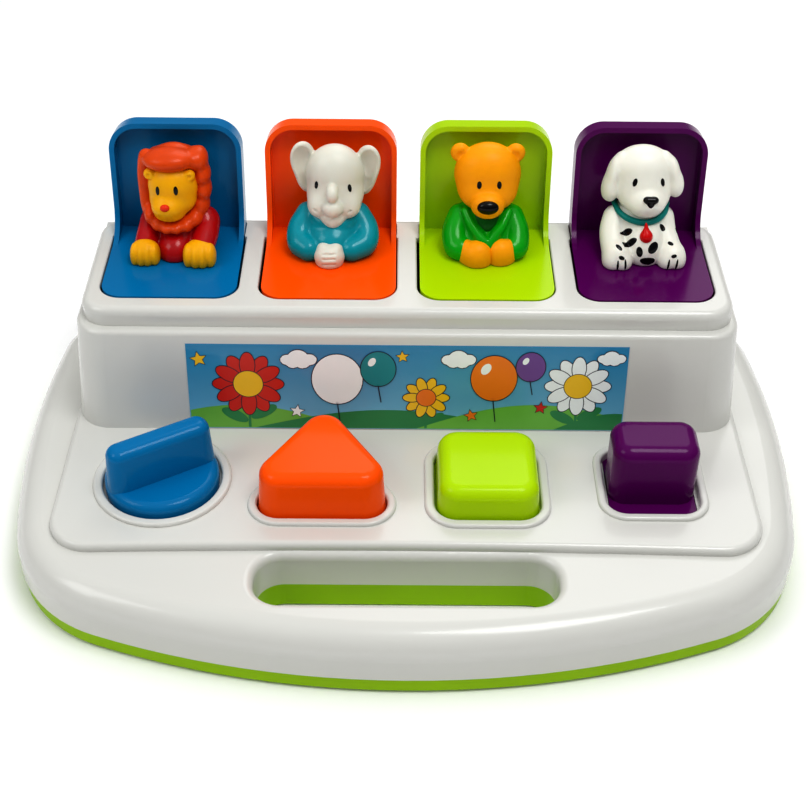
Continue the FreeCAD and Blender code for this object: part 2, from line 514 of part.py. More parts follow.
COLOURS = ["blue", "orange", "lime", "purple"]
lids = []
for i, col in enumerate(COLOURS):
    x0, x1 = XC[i] - g("lid_half"), XC[i] + g("lid_half")
    r, H = g("lid_corner"), g("lid_height")
    off, tk, lw = g("lid_offset"), g("lid_skin"), g("lip_wall")

    def plate(off2, rr, u0, u1):
        a, b = x0 + off2, x1 - off2
        return [seg((a, u0), (b, u0)), seg((b, u0), (b, u1 - rr)), arc((b - rr, u1 - rr), rr, 0, 90), seg((b - rr, u1), (a + rr, u1)),
                arc((a + rr, u1 - rr), rr, 90, 180), seg((a, u1 - rr), (a, u0))]
    # sketch plane of the back plate: x along X, y up the plate, normal out of its front
    b0 = uv(0, -off)
    rot = Rotation(V(1, 0, 0), 90 - g("lean"))
    back = extrude("lid_back_%s" % col, sketch("lid_back_sketch_%s" % col, [plate(0, r, 0.0, H)], placement=Placement(V(0, b0[0], b0[1]), rot)), "@lip_depth")
    b1 = uv(0, -off + tk)
    bowl = extrude("lid_bowl_%s" % col, sketch("lid_bowl_sketch_%s" % col, [plate(lw, r - lw, -6.0, H - lw)], placement=Placement(V(0, b1[0], b1[1]), rot)), "@lip_depth")
    tray_back = cut("lid_dish_%s" % col, back, bowl)
    # floor plate
    fy0, fy1, q = AY - g("lid_reach"), AY + 1.0, g("lid_floor_corner")
    fl = [seg((x0 + q, fy0), (x1 - q, fy0)), arc((x1 - q, fy0 + q), q, 270, 360), seg((x1, fy0 + q), (x1, fy1)), seg((x1, fy1), (x0, fy1)),
          seg((x0, fy1), (x0, fy0 + q)), arc((x0 + q, fy0 + q), q, 180, 270)]
    floor = extrude("lid_floor_%s" % col, sketch("lid_floor_sketch_%s" % col, [fl], g("deck_top") - tk), "@lid_skin")
    # gussets: the lip sweeps down into the floor's side edges
    R = g("gusset_radius")
    fv = -off + g("lip_depth")
    zt = g("deck_top") - 0.6
    # corner where the lip's front line meets the floor's top
    cu = (zt + 0.6 - (AZ + fv * VH[1])) / UH[1]
    cy, cz = uv(cu, fv)
    ang = math.radians(90 + g("lean"))
    tl = R / math.tan(ang / 2)
    pf = (cy - tl, cz)
    pl = uv(cu + tl, fv)
    pc = (pf[0], cz + R)
    mid = (pc[0] + R * math.cos(math.radians(-90 + (90 - g("lean")) / 2)), pc[1] + R * math.sin(math.radians(-90 + (90 - g("lean")) / 2)))
    inb = uv(cu + tl, -off + 0.5)
    w = Part.Wire([Part.LineSegment(V(0, pf[0], zt), V(0, pf[0], pf[1])).toShape(),
                   Part.Arc(V(0, pf[0], pf[1]), V(0, mid[0], mid[1]), V(0, pl[0], pl[1])).toShape(),
                   Part.LineSegment(V(0, pl[0], pl[1]), V(0, inb[0], inb[1])).toShape(),
                   Part.LineSegment(V(0, inb[0], inb[1]), V(0, uv(2.0, -off + 0.5)[0], zt)).toShape(),
                   Part.LineSegment(V(0, uv(2.0, -off + 0.5)[0], zt), V(0, pf[0], zt)).toShape()])
    fc = Part.Face(w)
    gus = doc.addObject("Part::Feature", "lid_gussets_%s" % col)
    ga = fc.extrude(V(lw, 0, 0)); ga.translate(V(x0, 0, 0))
    gb = fc.extrude(V(lw, 0, 0)); gb.translate(V(x1 - lw, 0, 0))
    gus.Shape = Part.makeCompound([ga, gb])
    lug_a = cyl("lid_lug_a_%s" % col, "@lug_radius", "@lug_width", XE[i] + "-@lid_half", "@axle_y", "@axle_z", "x")
    lug_b = cyl("lid_lug_b_%s" % col, "@lug_radius", "@lug_width", XE[i] + "+@lid_half-@lug_width", "@axle_y", "@axle_z", "x")
    # quarter round that closes the corner behind the hinge, clear of the spring
    heel = cyl("lid_heel_%s" % col, "@lug_radius", "2*@lid_half", XE[i] + "-@lid_half", "@axle_y", "@axle_z", "x")
    heel_in = cyl("lid_heel_in_%s" % col, "@lug_radius-1.3", "2*@lid_half-2*@lug_width", XE[i] + "-@lid_half+@lug_width", "@axle_y", "@axle_z", "x")
    keep = box("lid_heel_keep_%s" % col, "2*@lid_half", 8.0, 10.0, XE[i] + "-@lid_half", "@axle_y-1.0", "@axle_z-2.0")
    heel_q = common("lid_heel_q_%s" % col, cut("lid_heel_c_%s" % col, heel, heel_in), keep)
    solid = fuse("lid_solid_%s" % col, [tray_back, floor, gus, lug_a, lug_b, heel_q])
    # trim whatever the back plate leaves under the axle line
    bore = cyl("lid_bore_%s" % col, "@lug_bore", "2*@lid_half+2", XE[i] + "-@lid_half-1", "@axle_y", "@axle_z", "x")
    relief = cyl("lid_relief_%s" % col, "@lug_radius-1.4", "2*@lid_half-2*@lug_width", XE[i] + "-@lid_half+@lug_width", "@axle_y", "@axle_z", "x")
    lids.append(node(cut("lid_bored_%s" % col, solid, fuse("lid_cuts_%s" % col, [bore, relief])), "lid_" + col))

# one steel rod carries all four lids
node(cyl("rod", "@rod_radius", "2*@rod_half_length", "-@rod_half_length", "@axle_y", "@axle_z", "x"), "hinge_rod")


# ------------------------------------------------------------------ springs
def coil(start, axis_rot, radius, wire, pitch, turns, legs=()):
    h = Part.makeHelix(pitch, pitch * turns, radius)
    prof = Part.Wire([Part.Circle(V(radius, 0, 0), V(0, 1, 0), wire / 2).toShape()])
    sh = Part.Wire(h.Edges).makePipeShell([prof], True, True)
    sh.Placement = Placement(start, axis_rot)
    return sh


for i, col in enumerate(COLOURS):
    s = coil(V(XC[i] - 6.0, AY, AZ), Rotation(V(0, 1, 0), 90), 2.1, 0.7, 1.0, 12)
    f = doc.addObject("Part::Feature", "lid_spring_shape_%s" % col)
    f.Shape = s
    node(f, "lid_spring_" + col)

SPR0, SPR1 = g("tray_floor") + 0.05, g("bar_low") - 0.05
for i in range(4):
    f = doc.addObject("Part::Feature", "return_spring_shape_%d" % (i + 1))
    wd = g("spring_wire")
    n = 5.0
    p = (SPR1 - SPR0 - wd) / n
    f.Shape = coil(V(XC[i], g("spring_y"), SPR0 + wd / 2), Rotation(), g("spring_coil"), wd, p, n)
    node(f, "return_spring_" + COLOURS[i])

# ------------------------------------------------------------------ release levers and their pins
for i, col in enumerate(COLOURS):
    hub = cyl("lever_hub_%s" % col, "@hub_radius", "@bar_width", XE[i] + "-@bar_width/2", "@pin_y", "@pin_z", "x")
    bar = box("lever_bar_%s" % col, "@bar_width", "@bar_end-@pin_y", "@bar_high-@bar_low", XE[i] + "-@bar_width/2", "@pin_y", "@bar_low")
    nose = box("lever_nose_%s" % col, "@bar_width", "@bar_end-@nose_front", "@nose_top-@bar_low", XE[i] + "-@bar_width/2", "@nose_front", "@bar_low")
    stay = box("lever_stay_%s" % col, 2.4, 12.0, 9.0, XE[i] + "-1.2", "@nose_front-12", "@bar_high-0.5")
    by = -10.0 if i == 0 else ROW
    pads = [cyl("lever_pad_%s" % col, 3.0 if i in (0, 3) else 5.0, "@boss_top-@bar_high+2" if i in (1, 2) else "@boss_top-@bar_high-1", XE[i], by, "@bar_high-2")]
    if i in (0, 3):
        dome = doc.addObject("Part::Sphere", "lever_dome_%s" % col)
        dome.Radius = 3.0
        dome.Placement = Placement(V(XC[i], by, g("boss_top") - 3.0), Rotation())
        pads.append(dome)
    solid = fuse("lever_solid_%s" % col, [hub, bar, nose, stay] + pads)
    bore = cyl("lever_bore_%s" % col, "@hub_bore", 20.0, XE[i] + "-10", "@pin_y", "@pin_z", "x")
    lev = cut("lever_cut_%s" % col, solid, bore)
    node(lev, "latch_lever_" + col)
pins = []
for i in range(4):
    pins.append(cyl("lever_pin_%d" % i, "@pin_radius", "@pin_length", XE[i] + "-@pin_length/2", "@pin_y", "@pin_z", "x"))
pg = doc.addObject("Part::Compound", "lever_pin_group")
pg.Links = pins
node(pg, "lever_pins")

# ------------------------------------------------------------------ turning knob
disc = fillet("knob_disc_round", cyl("knob_disc", "@knob_radius", "@knob_disc_top-@knob_disc_low", XE[0], "@row_y", "@knob_disc_low"), 3.6, at_z(g("knob_disc_top")))
bw, bt, bl = g("knob_bar_width"), g("knob_bar_width_top"), g("knob_radius") - 0.3
bar_lo = sketch("knob_bar_low", [rounded_rect(-bl, bl, -bw / 2, bw / 2, 6.0)], g("knob_disc_top") - 4)
bar_hi = sketch("knob_bar_high", [rounded_rect(-bl + 1.3, bl - 1.3, -bt / 2, bt / 2, 5.0)], g("knob_bar_top"))
barb = doc.addObject("Part::Loft", "knob_bar")
barb.Sections = [bar_lo, bar_hi]
barb.Solid = True
barb.Ruled = True
bart = fillet("knob_bar_round", barb, 4.2, at_z(g("knob_bar_top")))
rz = Rotation(V(0, 0, 1), g("knob_bar_angle"))
turned = doc.addObject("Part::Compound", "knob_bar_turned")
turned.Links = [bart]
turned.Placement = Placement(V(XC[0], ROW, 0), rz)
kcyl = cyl("knob_bar_limit", "@knob_radius", 60.0, XE[0], "@row_y", 20.0)
barc = common("knob_bar_trim", turned, kcyl)
stem = cyl("knob_stem", "@knob_stem_radius", "@knob_disc_low-16+1", XE[0], "@row_y", 16.0)
knob_s = fuse("knob_solid", [disc, barc, stem])
# the stem ends in a tilted face: over the turn it pushes the lever's pad down
A = g("cam_drop")
zc = g("boss_top") + 0.5 - A / 2
tilt = math.degrees(math.atan2(A, g("cam_arm")))
# direction in which the face rises: 60 degrees to one side of the pad at rest, so the pad sees it fall as the knob turns
swash = doc.addObject("Part::Box", "knob_cam_cut")
swash.Length, swash.Width, swash.Height = 60.0, 60.0, 30.0
up_dir = 90.0 - 60.0
rt = Rotation(V(0, 0, 1), up_dir).multiply(Rotation(V(0, 1, 0), -tilt))
swash.Placement = Placement(V(XC[0], ROW, zc).add(rt.multVec(V(-30, -30, -30))), rt)
node(cut("knob_cut", knob_s, swash), "turn_knob")
# push-on ring under the panel that keeps the knob in
ring_o = cyl("knob_ring_o", 15.5, 1.5, XE[0], "@row_y", 26.3)
ring_i = cyl("knob_ring_i", "@knob_stem_radius", 4.0, XE[0], "@row_y", 25.5)
node(cut("knob_ring_c", ring_o, ring_i), "knob_retainer")

# ------------------------------------------------------------------ push buttons
UN = g("panel_top") - SK - 0.2          # top of the flanges under the panel


def drafted(name, low_wire, high_wire, z0, z1):
    lf = doc.addObject("Part::Loft", name)
    lf.Sections = [sketch(name + "_low", [low_wire], z0), sketch(name + "_high", [high_wire], z1)]
    lf.Solid = True
    lf.Ruled = True
    return lf


def button(name, wire_at, top_wire, ztop, round_top, cx, cy, flange):
    b = drafted(name + "_block", wire_at(0), top_wire, UN - 0.5, ztop)
    bf = fillet(name + "_round", b, round_top, at_z(ztop))
    cav = extrude(name + "_cavity", sketch(name + "_cavity_sketch", [wire_at(-4.2)], UN - 6), ztop - 4.0 - UN + 6)
    fl = extrude(name + "_flange", sketch(name + "_flange_sketch", [wire_at(flange)], UN - 2.0), 2.0)
    # a domed stem bears on the lever's flat pad however far the lever is tilted
    st = fillet(name + "_stem_dome", cyl(name + "_stem", 5.0, ztop - 2.0 - g("boss_top") - 0.1, cx, cy, g("boss_top") + 0.1), 4.6,
                at_z(g("boss_top") + 0.1))
    sol = cut(name + "_shell", fuse(name + "_solid", [bf, fl]), cav)
    return fuse(name, [sol, st])


# the stems stand over the levers' pads, whatever the caps' own centres
tt = g("tri_half_top")
tri_top = button("tri_button_body", tri_w, triangle_outline(tt, tf + 1.6, tb - 0.8, TRI_R, XT, ROW), g("tri_top"), 5.0, XC[1], ROW, 2.4)
node(tri_top, "triangle_button")
qt = g("sq_half_top")
sq_top = button("sq_button_body", sq_w, rounded_rect(XQ - qt, XQ + qt, sy - qt, sy + qt, sc), g("sq_top"), 5.5, XC[2], ROW, 2.7)
node(sq_top, "square_button")

# ------------------------------------------------------------------ sliding block
sw, s0, s1 = g("slide_half_width"), g("slide_front"), g("slide_back")
blk = extrude("slide_block_x", sketch("slide_block_sketch", [rounded_rect(XC[3] - sw, XC[3] + sw, ROW + s0, ROW + s1, 7.0)], UN - 1.0), g("slide_top") - UN + 1.0)
blf = fillet("slide_block_round", blk, 5.5, at_z(g("slide_top")))
cavp = extrude("slide_cavity", sketch("slide_cavity_sketch", [rounded_rect(XC[3] - sw + 2.4, XC[3] + sw - 2.4, ROW + s0 + 2.4, ROW + s1 - 2.4, 4.6)], UN - 8), g("slide_top") - 3.0 - UN + 8)
# cover plate that runs under the panel fore and aft
plate_s = extrude("slide_plate", sketch("slide_plate_sketch", [rounded_rect(XC[3] - sw, XC[3] + sw, ROW - 21.5, ROW + 28.5, 3.0)], UN - 2.0), 2.0)
shell_s = cut("slide_shell", fuse("slide_outer", [blf, plate_s]), cavp)
ramp_h = g("boss_top") + 0.5
k = g("slide_fall") / g("slide_travel")
yA, yB = -4.0, 11.0
zA, zB = ramp_h - yA * k, ramp_h - yB * k
rw = Part.Wire([Part.LineSegment(V(XC[3] - 4, ROW + yA, zA), V(XC[3] - 4, ROW + yB, zB)).toShape(),
                Part.LineSegment(V(XC[3] - 4, ROW + yB, zB), V(XC[3] - 4, ROW + yB, UN + 4)).toShape(),
                Part.LineSegment(V(XC[3] - 4, ROW + yB, UN + 4), V(XC[3] - 4, ROW + yA, UN + 4)).toShape(),
                Part.LineSegment(V(XC[3] - 4, ROW + yA, UN + 4), V(XC[3] - 4, ROW + yA, zA)).toShape()])
ramp = doc.addObject("Part::Feature", "slide_ramp")
ramp.Shape = Part.Face(rw).extrude(V(8, 0, 0))
web = box("slide_web", "2*@slide_half_width-2", 2.0, 8.0, XE[3] + "-@slide_half_width+1", ROW + 2.0, UN - 2.0)
node(fuse("slide_solid", [shell_s, ramp, web]), "slide_block")


# ------------------------------------------------------------------ figures: plain closed forms of the right size, each seated on its lid's floor
def ell(name, rx, ry, rz_, x, y, z, tilt_deg=0.0):
    e = doc.addObject("Part::Ellipsoid", name)
    e.Radius1, e.Radius2, e.Radius3 = rz_, rx, ry
    e.Angle1, e.Angle2, e.Angle3 = -90, 90, 360
    e.Placement = Placement(V(x, y, z), Rotation(V(1, 0, 0), tilt_deg))
    return e


FIG = {
    "lion": dict(i=0, head=(16.2, 13.2, 17.6, 119.0 - 4.5), body=(18.5, 13.5, 15.0)),
    "elephant": dict(i=1, head=(16.5, 12.6, 16.2, 115.5), body=(19.8, 13.5, 14.5)),
    "bear": dict(i=2, head=(14.6, 12.2, 14.8, 115.2), body=(18.6, 13.5, 14.5)),
    "puppy": dict(i=3, head=(16.6, 13.0, 16.0, 115.0), body=(18.6, 14.0, 15.5)),
}
zf = g("deck_top")
for nm, d in FIG.items():
    x = XC[d["i"]]
    hx, hy, hz, hc = d["head"]
    bx, by_, bz = d["body"]
    head = ell(nm + "_head", hx, hy, hz, x, 76.3, hc, -6)
    body = ell(nm + "_torso", bx, by_, bz, x, 70.0, zf + 11.0)
    arml = ell(nm + "_paw_l", 7.0, 10.0, 6.0, x - 8.5, 62.5, zf + 5.0)
    armr = ell(nm + "_paw_r", 7.0, 10.0, 6.0, x + 8.5, 62.5, zf + 5.0)
    f = fuse(nm + "_solid", [head, body, arml, armr])
    clipb = box(nm + "_seat", 70.0, 60.0, 60.0, x - 35.0, 30.0, zf + 0.02)
    node(common(nm + "_seated", f, clipb), nm)

doc.recompute()
bad = []
for o in doc.Objects:
    st = [str(x) for x in o.State]
    if "Invalid" in st or "Error" in st:
        bad.append((o.Name, st))
if bad:
    raise RuntimeError("failed objects: %s" % bad)
for name, o in NODES:
    if o.Shape.isNull() or not o.Shape.isValid():
        raise RuntimeError("bad shape: " + name)
os.makedirs("parts", exist_ok=True)
for name, o in NODES:
    sh = o.Shape
    bb = sh.optimalBoundingBox(False, False)
    print("%-24s solids %2d vol %9.1f  x %.1f..%.1f y %.1f..%.1f z %.1f..%.1f" % (name, len(sh.Solids), sh.Volume, bb.XMin, bb.XMax, bb.YMin, bb.YMax, bb.ZMin, bb.ZMax))
    sh.exportStep("parts/%s.step" % name)
print(len(NODES), "nodes")
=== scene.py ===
import math
import random
import bpy
import numpy as np
from mathutils import Matrix, Vector


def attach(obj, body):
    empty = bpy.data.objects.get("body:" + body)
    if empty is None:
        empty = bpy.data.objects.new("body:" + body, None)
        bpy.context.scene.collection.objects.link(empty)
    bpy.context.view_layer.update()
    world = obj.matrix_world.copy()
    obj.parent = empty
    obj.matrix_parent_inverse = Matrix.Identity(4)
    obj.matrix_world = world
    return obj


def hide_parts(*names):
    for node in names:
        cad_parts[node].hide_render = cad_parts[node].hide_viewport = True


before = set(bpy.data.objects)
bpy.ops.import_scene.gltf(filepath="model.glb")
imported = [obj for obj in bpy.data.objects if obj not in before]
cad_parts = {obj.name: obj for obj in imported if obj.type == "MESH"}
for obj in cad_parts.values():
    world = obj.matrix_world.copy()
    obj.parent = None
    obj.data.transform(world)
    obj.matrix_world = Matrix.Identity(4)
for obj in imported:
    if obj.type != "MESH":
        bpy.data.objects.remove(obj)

random.seed(7)
np.random.seed(7)
MM = 0.001
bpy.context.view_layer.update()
CAM = (-4.3098, -455.6255, 432.6359)        # mm, row frame
FLOOR_Z = 85.5                              # top of the lids' floor plates


# ------------------------------------------------------------------ materials
def lin(c):
    c = c / 255.0
    return c / 12.92 if c <= 0.04045 else ((c + 0.055) / 1.055) ** 2.4


def rgb(r, g, b):
    return (lin(r), lin(g), lin(b), 1.0)


def material(name, colour, rough=0.25, coat=0.0, coat_rough=0.06, spec=0.5, metallic=0.0, vary=0.03, grain=60.0, bump=0.0, bump_scale=400.0, sss=0.0, sss_colour=None):
    """plastic or paint: a base colour that drifts a little, and a fine surface texture"""
    m = bpy.data.materials.new(name)
    m.use_nodes = True
    nt = m.node_tree
    b = nt.nodes["Principled BSDF"]
    b.inputs["Roughness"].default_value = rough
    b.inputs["Metallic"].default_value = metallic
    b.inputs["Specular IOR Level"].default_value = spec
    b.inputs["Coat Weight"].default_value = coat
    b.inputs["Coat Roughness"].default_value = coat_rough
    if sss:
        b.inputs["Subsurface Weight"].default_value = sss
        b.inputs["Subsurface Radius"].default_value = sss_colour or (0.003, 0.002, 0.0015)
        b.inputs["Subsurface Scale"].default_value = 1.0
    tc = nt.nodes.new("ShaderNodeTexCoord")
    n = nt.nodes.new("ShaderNodeTexNoise")
    n.inputs["Scale"].default_value = grain
    n.inputs["Detail"].default_value = 3.0
    nt.links.new(tc.outputs["Object"], n.inputs["Vector"])
    ramp = nt.nodes.new("ShaderNodeValToRGB")
    lo = [max(0.0, c * (1 - vary)) for c in colour[:3]] + [1.0]
    hi = [min(1.0, c * (1 + vary)) for c in colour[:3]] + [1.0]
    ramp.color_ramp.elements[0].position = 0.35
    ramp.color_ramp.elements[0].color = lo
    ramp.color_ramp.elements[1].position = 0.65
    ramp.color_ramp.elements[1].color = hi
    nt.links.new(n.outputs["Fac"], ramp.inputs["Fac"])
    nt.links.new(ramp.outputs["Color"], b.inputs["Base Color"])
    if bump:
        n2 = nt.nodes.new("ShaderNodeTexNoise")
        n2.inputs["Scale"].default_value = bump_scale
        n2.inputs["Detail"].default_value = 2.0
        nt.links.new(tc.outputs["Object"], n2.inputs["Vector"])
        bm = nt.nodes.new("ShaderNodeBump")
        bm.inputs["Strength"].default_value = bump
        bm.inputs["Distance"].default_value = 0.0004
        nt.links.new(n2.outputs["Fac"], bm.inputs["Height"])
        nt.links.new(bm.outputs["Normal"], b.inputs["Normal"])
    return m


M = {}
M["white"] = material("shell_white", rgb(213, 213, 208), rough=0.24, coat=0.25, vary=0.006, grain=12, spec=0.4)
M["green"] = material("base_green", rgb(156, 198, 0), rough=0.32, coat=0.0, vary=0.03, grain=20, spec=0.2)
M["blue"] = material("lid_blue", rgb(0, 120, 172), rough=0.17, coat=0.05, vary=0.02, grain=15, spec=0.16)
M["orange"] = material("lid_orange", rgb(255, 96, 0), rough=0.17, coat=0.05, vary=0.02, grain=15, spec=0.16)
M["lime"] = material("lid_lime", rgb(182, 219, 0), rough=0.17, coat=0.05, vary=0.02, grain=15, spec=0.16)
M["purple"] = material("lid_purple", rgb(92, 0, 92), rough=0.16, coat=0.05, vary=0.03, grain=15, spec=0.16)
M["rubber"] = material("foot_rubber", rgb(40, 40, 42), rough=0.7, vary=0.1, bump=0.3, bump_scale=900)
M["steel"] = material("steel", rgb(190, 190, 194), rough=0.28, metallic=1.0, vary=0.03, grain=200)
M["natural"] = material("lever_natural", rgb(214, 212, 204), rough=0.4, vary=0.02)
M["ivory"] = material("vinyl_ivory", rgb(224, 223, 211), rough=0.42, vary=0.012, grain=90, bump=0.10, bump_scale=700, sss=0.12)
M["white_vinyl"] = material("vinyl_white", rgb(240, 239, 228), rough=0.40, vary=0.012, grain=90, bump=0.10, bump_scale=700, sss=0.12)
M["hand_ivory"] = material("vinyl_hand", rgb(226, 224, 212), rough=0.42, vary=0.012, grain=90, bump=0.10, bump_scale=700, sss=0.12)
M["mane"] = material("paint_mane", rgb(218, 80, 12), rough=0.34, coat=0.10, spec=0.25, vary=0.05, grain=180, bump=0.12, bump_scale=500)
M["yellow"] = material("paint_yellow", rgb(240, 178, 10), rough=0.38, spec=0.25, vary=0.03, grain=150, bump=0.10, bump_scale=700, sss=0.08)
M["red_jumper"] = material("paint_red", rgb(178, 12, 22), rough=0.24, coat=0.25, spec=0.25, vary=0.05, grain=180, bump=0.25, bump_scale=330)
M["red_sleeve"] = material("paint_red_bright", rgb(206, 24, 8), rough=0.26, coat=0.15, spec=0.25, vary=0.05, grain=180, bump=0.18, bump_scale=330)
M["teal"] = material("paint_teal", rgb(0, 152, 166), rough=0.24, coat=0.20, spec=0.25, vary=0.05, grain=160, bump=0.12, bump_scale=330)
M["bear"] = material("paint_bear", rgb(250, 168, 4), rough=0.42, spec=0.25, vary=0.03, grain=150, bump=0.10, bump_scale=700, sss=0.08)
M["green_jacket"] = material("paint_green", rgb(4, 166, 22), rough=0.24, coat=0.20, spec=0.25, vary=0.05, grain=160, bump=0.12, bump_scale=330)
# darker green for the bear's neck inside the V: painted shade of the recess between the lapels
M["green_painted_shade"] = material("paint_green_painted_shade", rgb(2, 98, 16), rough=0.32, coat=0.00, spec=0.25, vary=0.05, grain=160)
M["black"] = material("paint_black", rgb(8, 7, 8), rough=0.16, coat=0.15, spec=0.25, vary=0.05)
M["nose_red"] = material("paint_nose_red", rgb(232, 62, 24), rough=0.25, coat=0.15, spec=0.25, vary=0.03)
M["tag_red"] = material("paint_tag_red", rgb(206, 8, 12), rough=0.25, coat=0.15, spec=0.25, vary=0.03)
M["collar"] = material("paint_collar", rgb(0, 128, 122), rough=0.28, coat=0.10, spec=0.25, vary=0.04)
M["ear_pink"] = material("paint_ear_shade", rgb(222, 208, 196), rough=0.45, vary=0.02)

NODE_MAT = {"base_shell": "white", "tower_shell": "white", "deck_frame": "white", "base_tray": "green", "front_label": None, "rubber_feet": "rubber",
            "base_screws": "steel", "hinge_rod": "steel", "lever_pins": "steel", "turn_knob": "blue", "knob_retainer": "natural",
            "triangle_button": "orange", "square_button": "lime", "slide_block": "purple"}
for c in ("blue", "orange", "lime", "purple"):
    NODE_MAT["lid_" + c] = c
    NODE_MAT["lid_spring_" + c] = "steel"
    NODE_MAT["return_spring_" + c] = "steel"
    NODE_MAT["latch_lever_" + c] = "natural"
for f, c in (("lion", "mane"), ("elephant", "ivory"), ("bear", "bear"), ("puppy", "white_vinyl")):
    NODE_MAT[f] = c

# the label's printed ground: a soft fall from deep to light blue
lab = bpy.data.materials.new("label_print")
lab.use_nodes = True
nt = lab.node_tree
pb = nt.nodes["Principled BSDF"]
pb.inputs["Roughness"].default_value = 0.22
pb.inputs["Coat Weight"].default_value = 0.4
pb.inputs["Coat Roughness"].default_value = 0.08
tc = nt.nodes.new("ShaderNodeTexCoord")
sep = nt.nodes.new("ShaderNodeSeparateXYZ")
nt.links.new(tc.outputs["Object"], sep.inputs["Vector"])
mr = nt.nodes.new("ShaderNodeMapRange")
mr.inputs["From Min"].default_value = 0.033
mr.inputs["From Max"].default_value = 0.072
nt.links.new(sep.outputs["Z"], mr.inputs["Value"])
cr = nt.nodes.new("ShaderNodeValToRGB")
cr.color_ramp.elements[0].color = rgb(128, 190, 218)
cr.color_ramp.elements[1].color = rgb(28, 134, 178)
nt.links.new(mr.outputs["Result"], cr.inputs["Fac"])
nt.links.new(cr.outputs["Color"], pb.inputs["Base Color"])
M["label"] = lab
NODE_MAT["front_label"] = "label"

for name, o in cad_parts.items():
    o.data.materials.clear()
    o.data.materials.append(M[NODE_MAT[name]])
    for p in o.data.polygons:
        p.use_smooth = True
    o.data.set_sharp_from_angle(angle=math.radians(32))


# ------------------------------------------------------------------ signed distances, in mm, on an (N, 3) array
def rot_m(rx=0, ry=0, rz=0):
    return np.array((Matrix.Rotation(math.radians(rz), 3, "Z") @ Matrix.Rotation(math.radians(ry), 3, "Y") @ Matrix.Rotation(math.radians(rx), 3, "X")))


def ell(c, r, rot=(0, 0, 0)):
    c, r, R = np.array(c, float), np.array(r, float), rot_m(*rot)

    def f(P):
        q = (P - c) @ R
        k0 = np.linalg.norm(q / r, axis=1)
        k1 = np.linalg.norm(q / (r * r), axis=1)
        return k0 * (k0 - 1.0) / np.maximum(k1, 1e-6)
    return f


def sph(c, r):
    c = np.array(c, float)
    return lambda P: np.linalg.norm(P - c, axis=1) - r


def cap(a, b, r1, r2=None):
    a, b = np.array(a, float), np.array(b, float)
    r2 = r1 if r2 is None else r2
    d = b - a

    def f(P):
        t = np.clip(((P - a) @ d) / (d @ d), 0, 1)
        return np.linalg.norm(P - a - t[:, None] * d, axis=1) - (r1 + (r2 - r1) * t)
    return f


def chain(pts, rs, k=0.0):
    fs = [cap(pts[i], pts[i + 1], rs[i], rs[i + 1]) for i in range(len(pts) - 1)]
    return su(k, *fs)


def tor(c, R, r, rot=(0, 0, 0), sx=1.0, sy=1.0):
    c, Q = np.array(c, float), rot_m(*rot)

    def f(P):
        q = (P - c) @ Q
        d = np.hypot(np.hypot(q[:, 0] / sx, q[:, 1] / sy) - R, q[:, 2])
        return d - r
    return f


def plane(n, d):
    """half space below: n.P - d"""
    n = np.array(n, float) / np.linalg.norm(n)
    return lambda P: P @ n - d


def smin(a, b, k):
    if k <= 0:
        return np.minimum(a, b)
    h = np.clip(0.5 + 0.5 * (b - a) / k, 0, 1)
    return b + (a - b) * h - k * h * (1 - h)


def su(k, *fs):
    def f(P):
        d = fs[0](P)
        for g in fs[1:]:
            d = smin(d, g(P), k)
        return d
    return f


def ss(k, a, *bs):
    """a with the bs taken out, edges softened over k"""
    def f(P):
        d = a(P)
        for b in bs:
            d = -smin(-d, b(P), k)
        return d
    return f


def si(k, a, b):
    return lambda P: -smin(-a(P), -b(P), k)


def off(a, r):
    return lambda P: a(P) - r


SEAT = lambda P: 0.02 - P[:, 2]             # everything stays above the lid's floor


def seat(f, k=0.6):
    return si(k, f, SEAT)


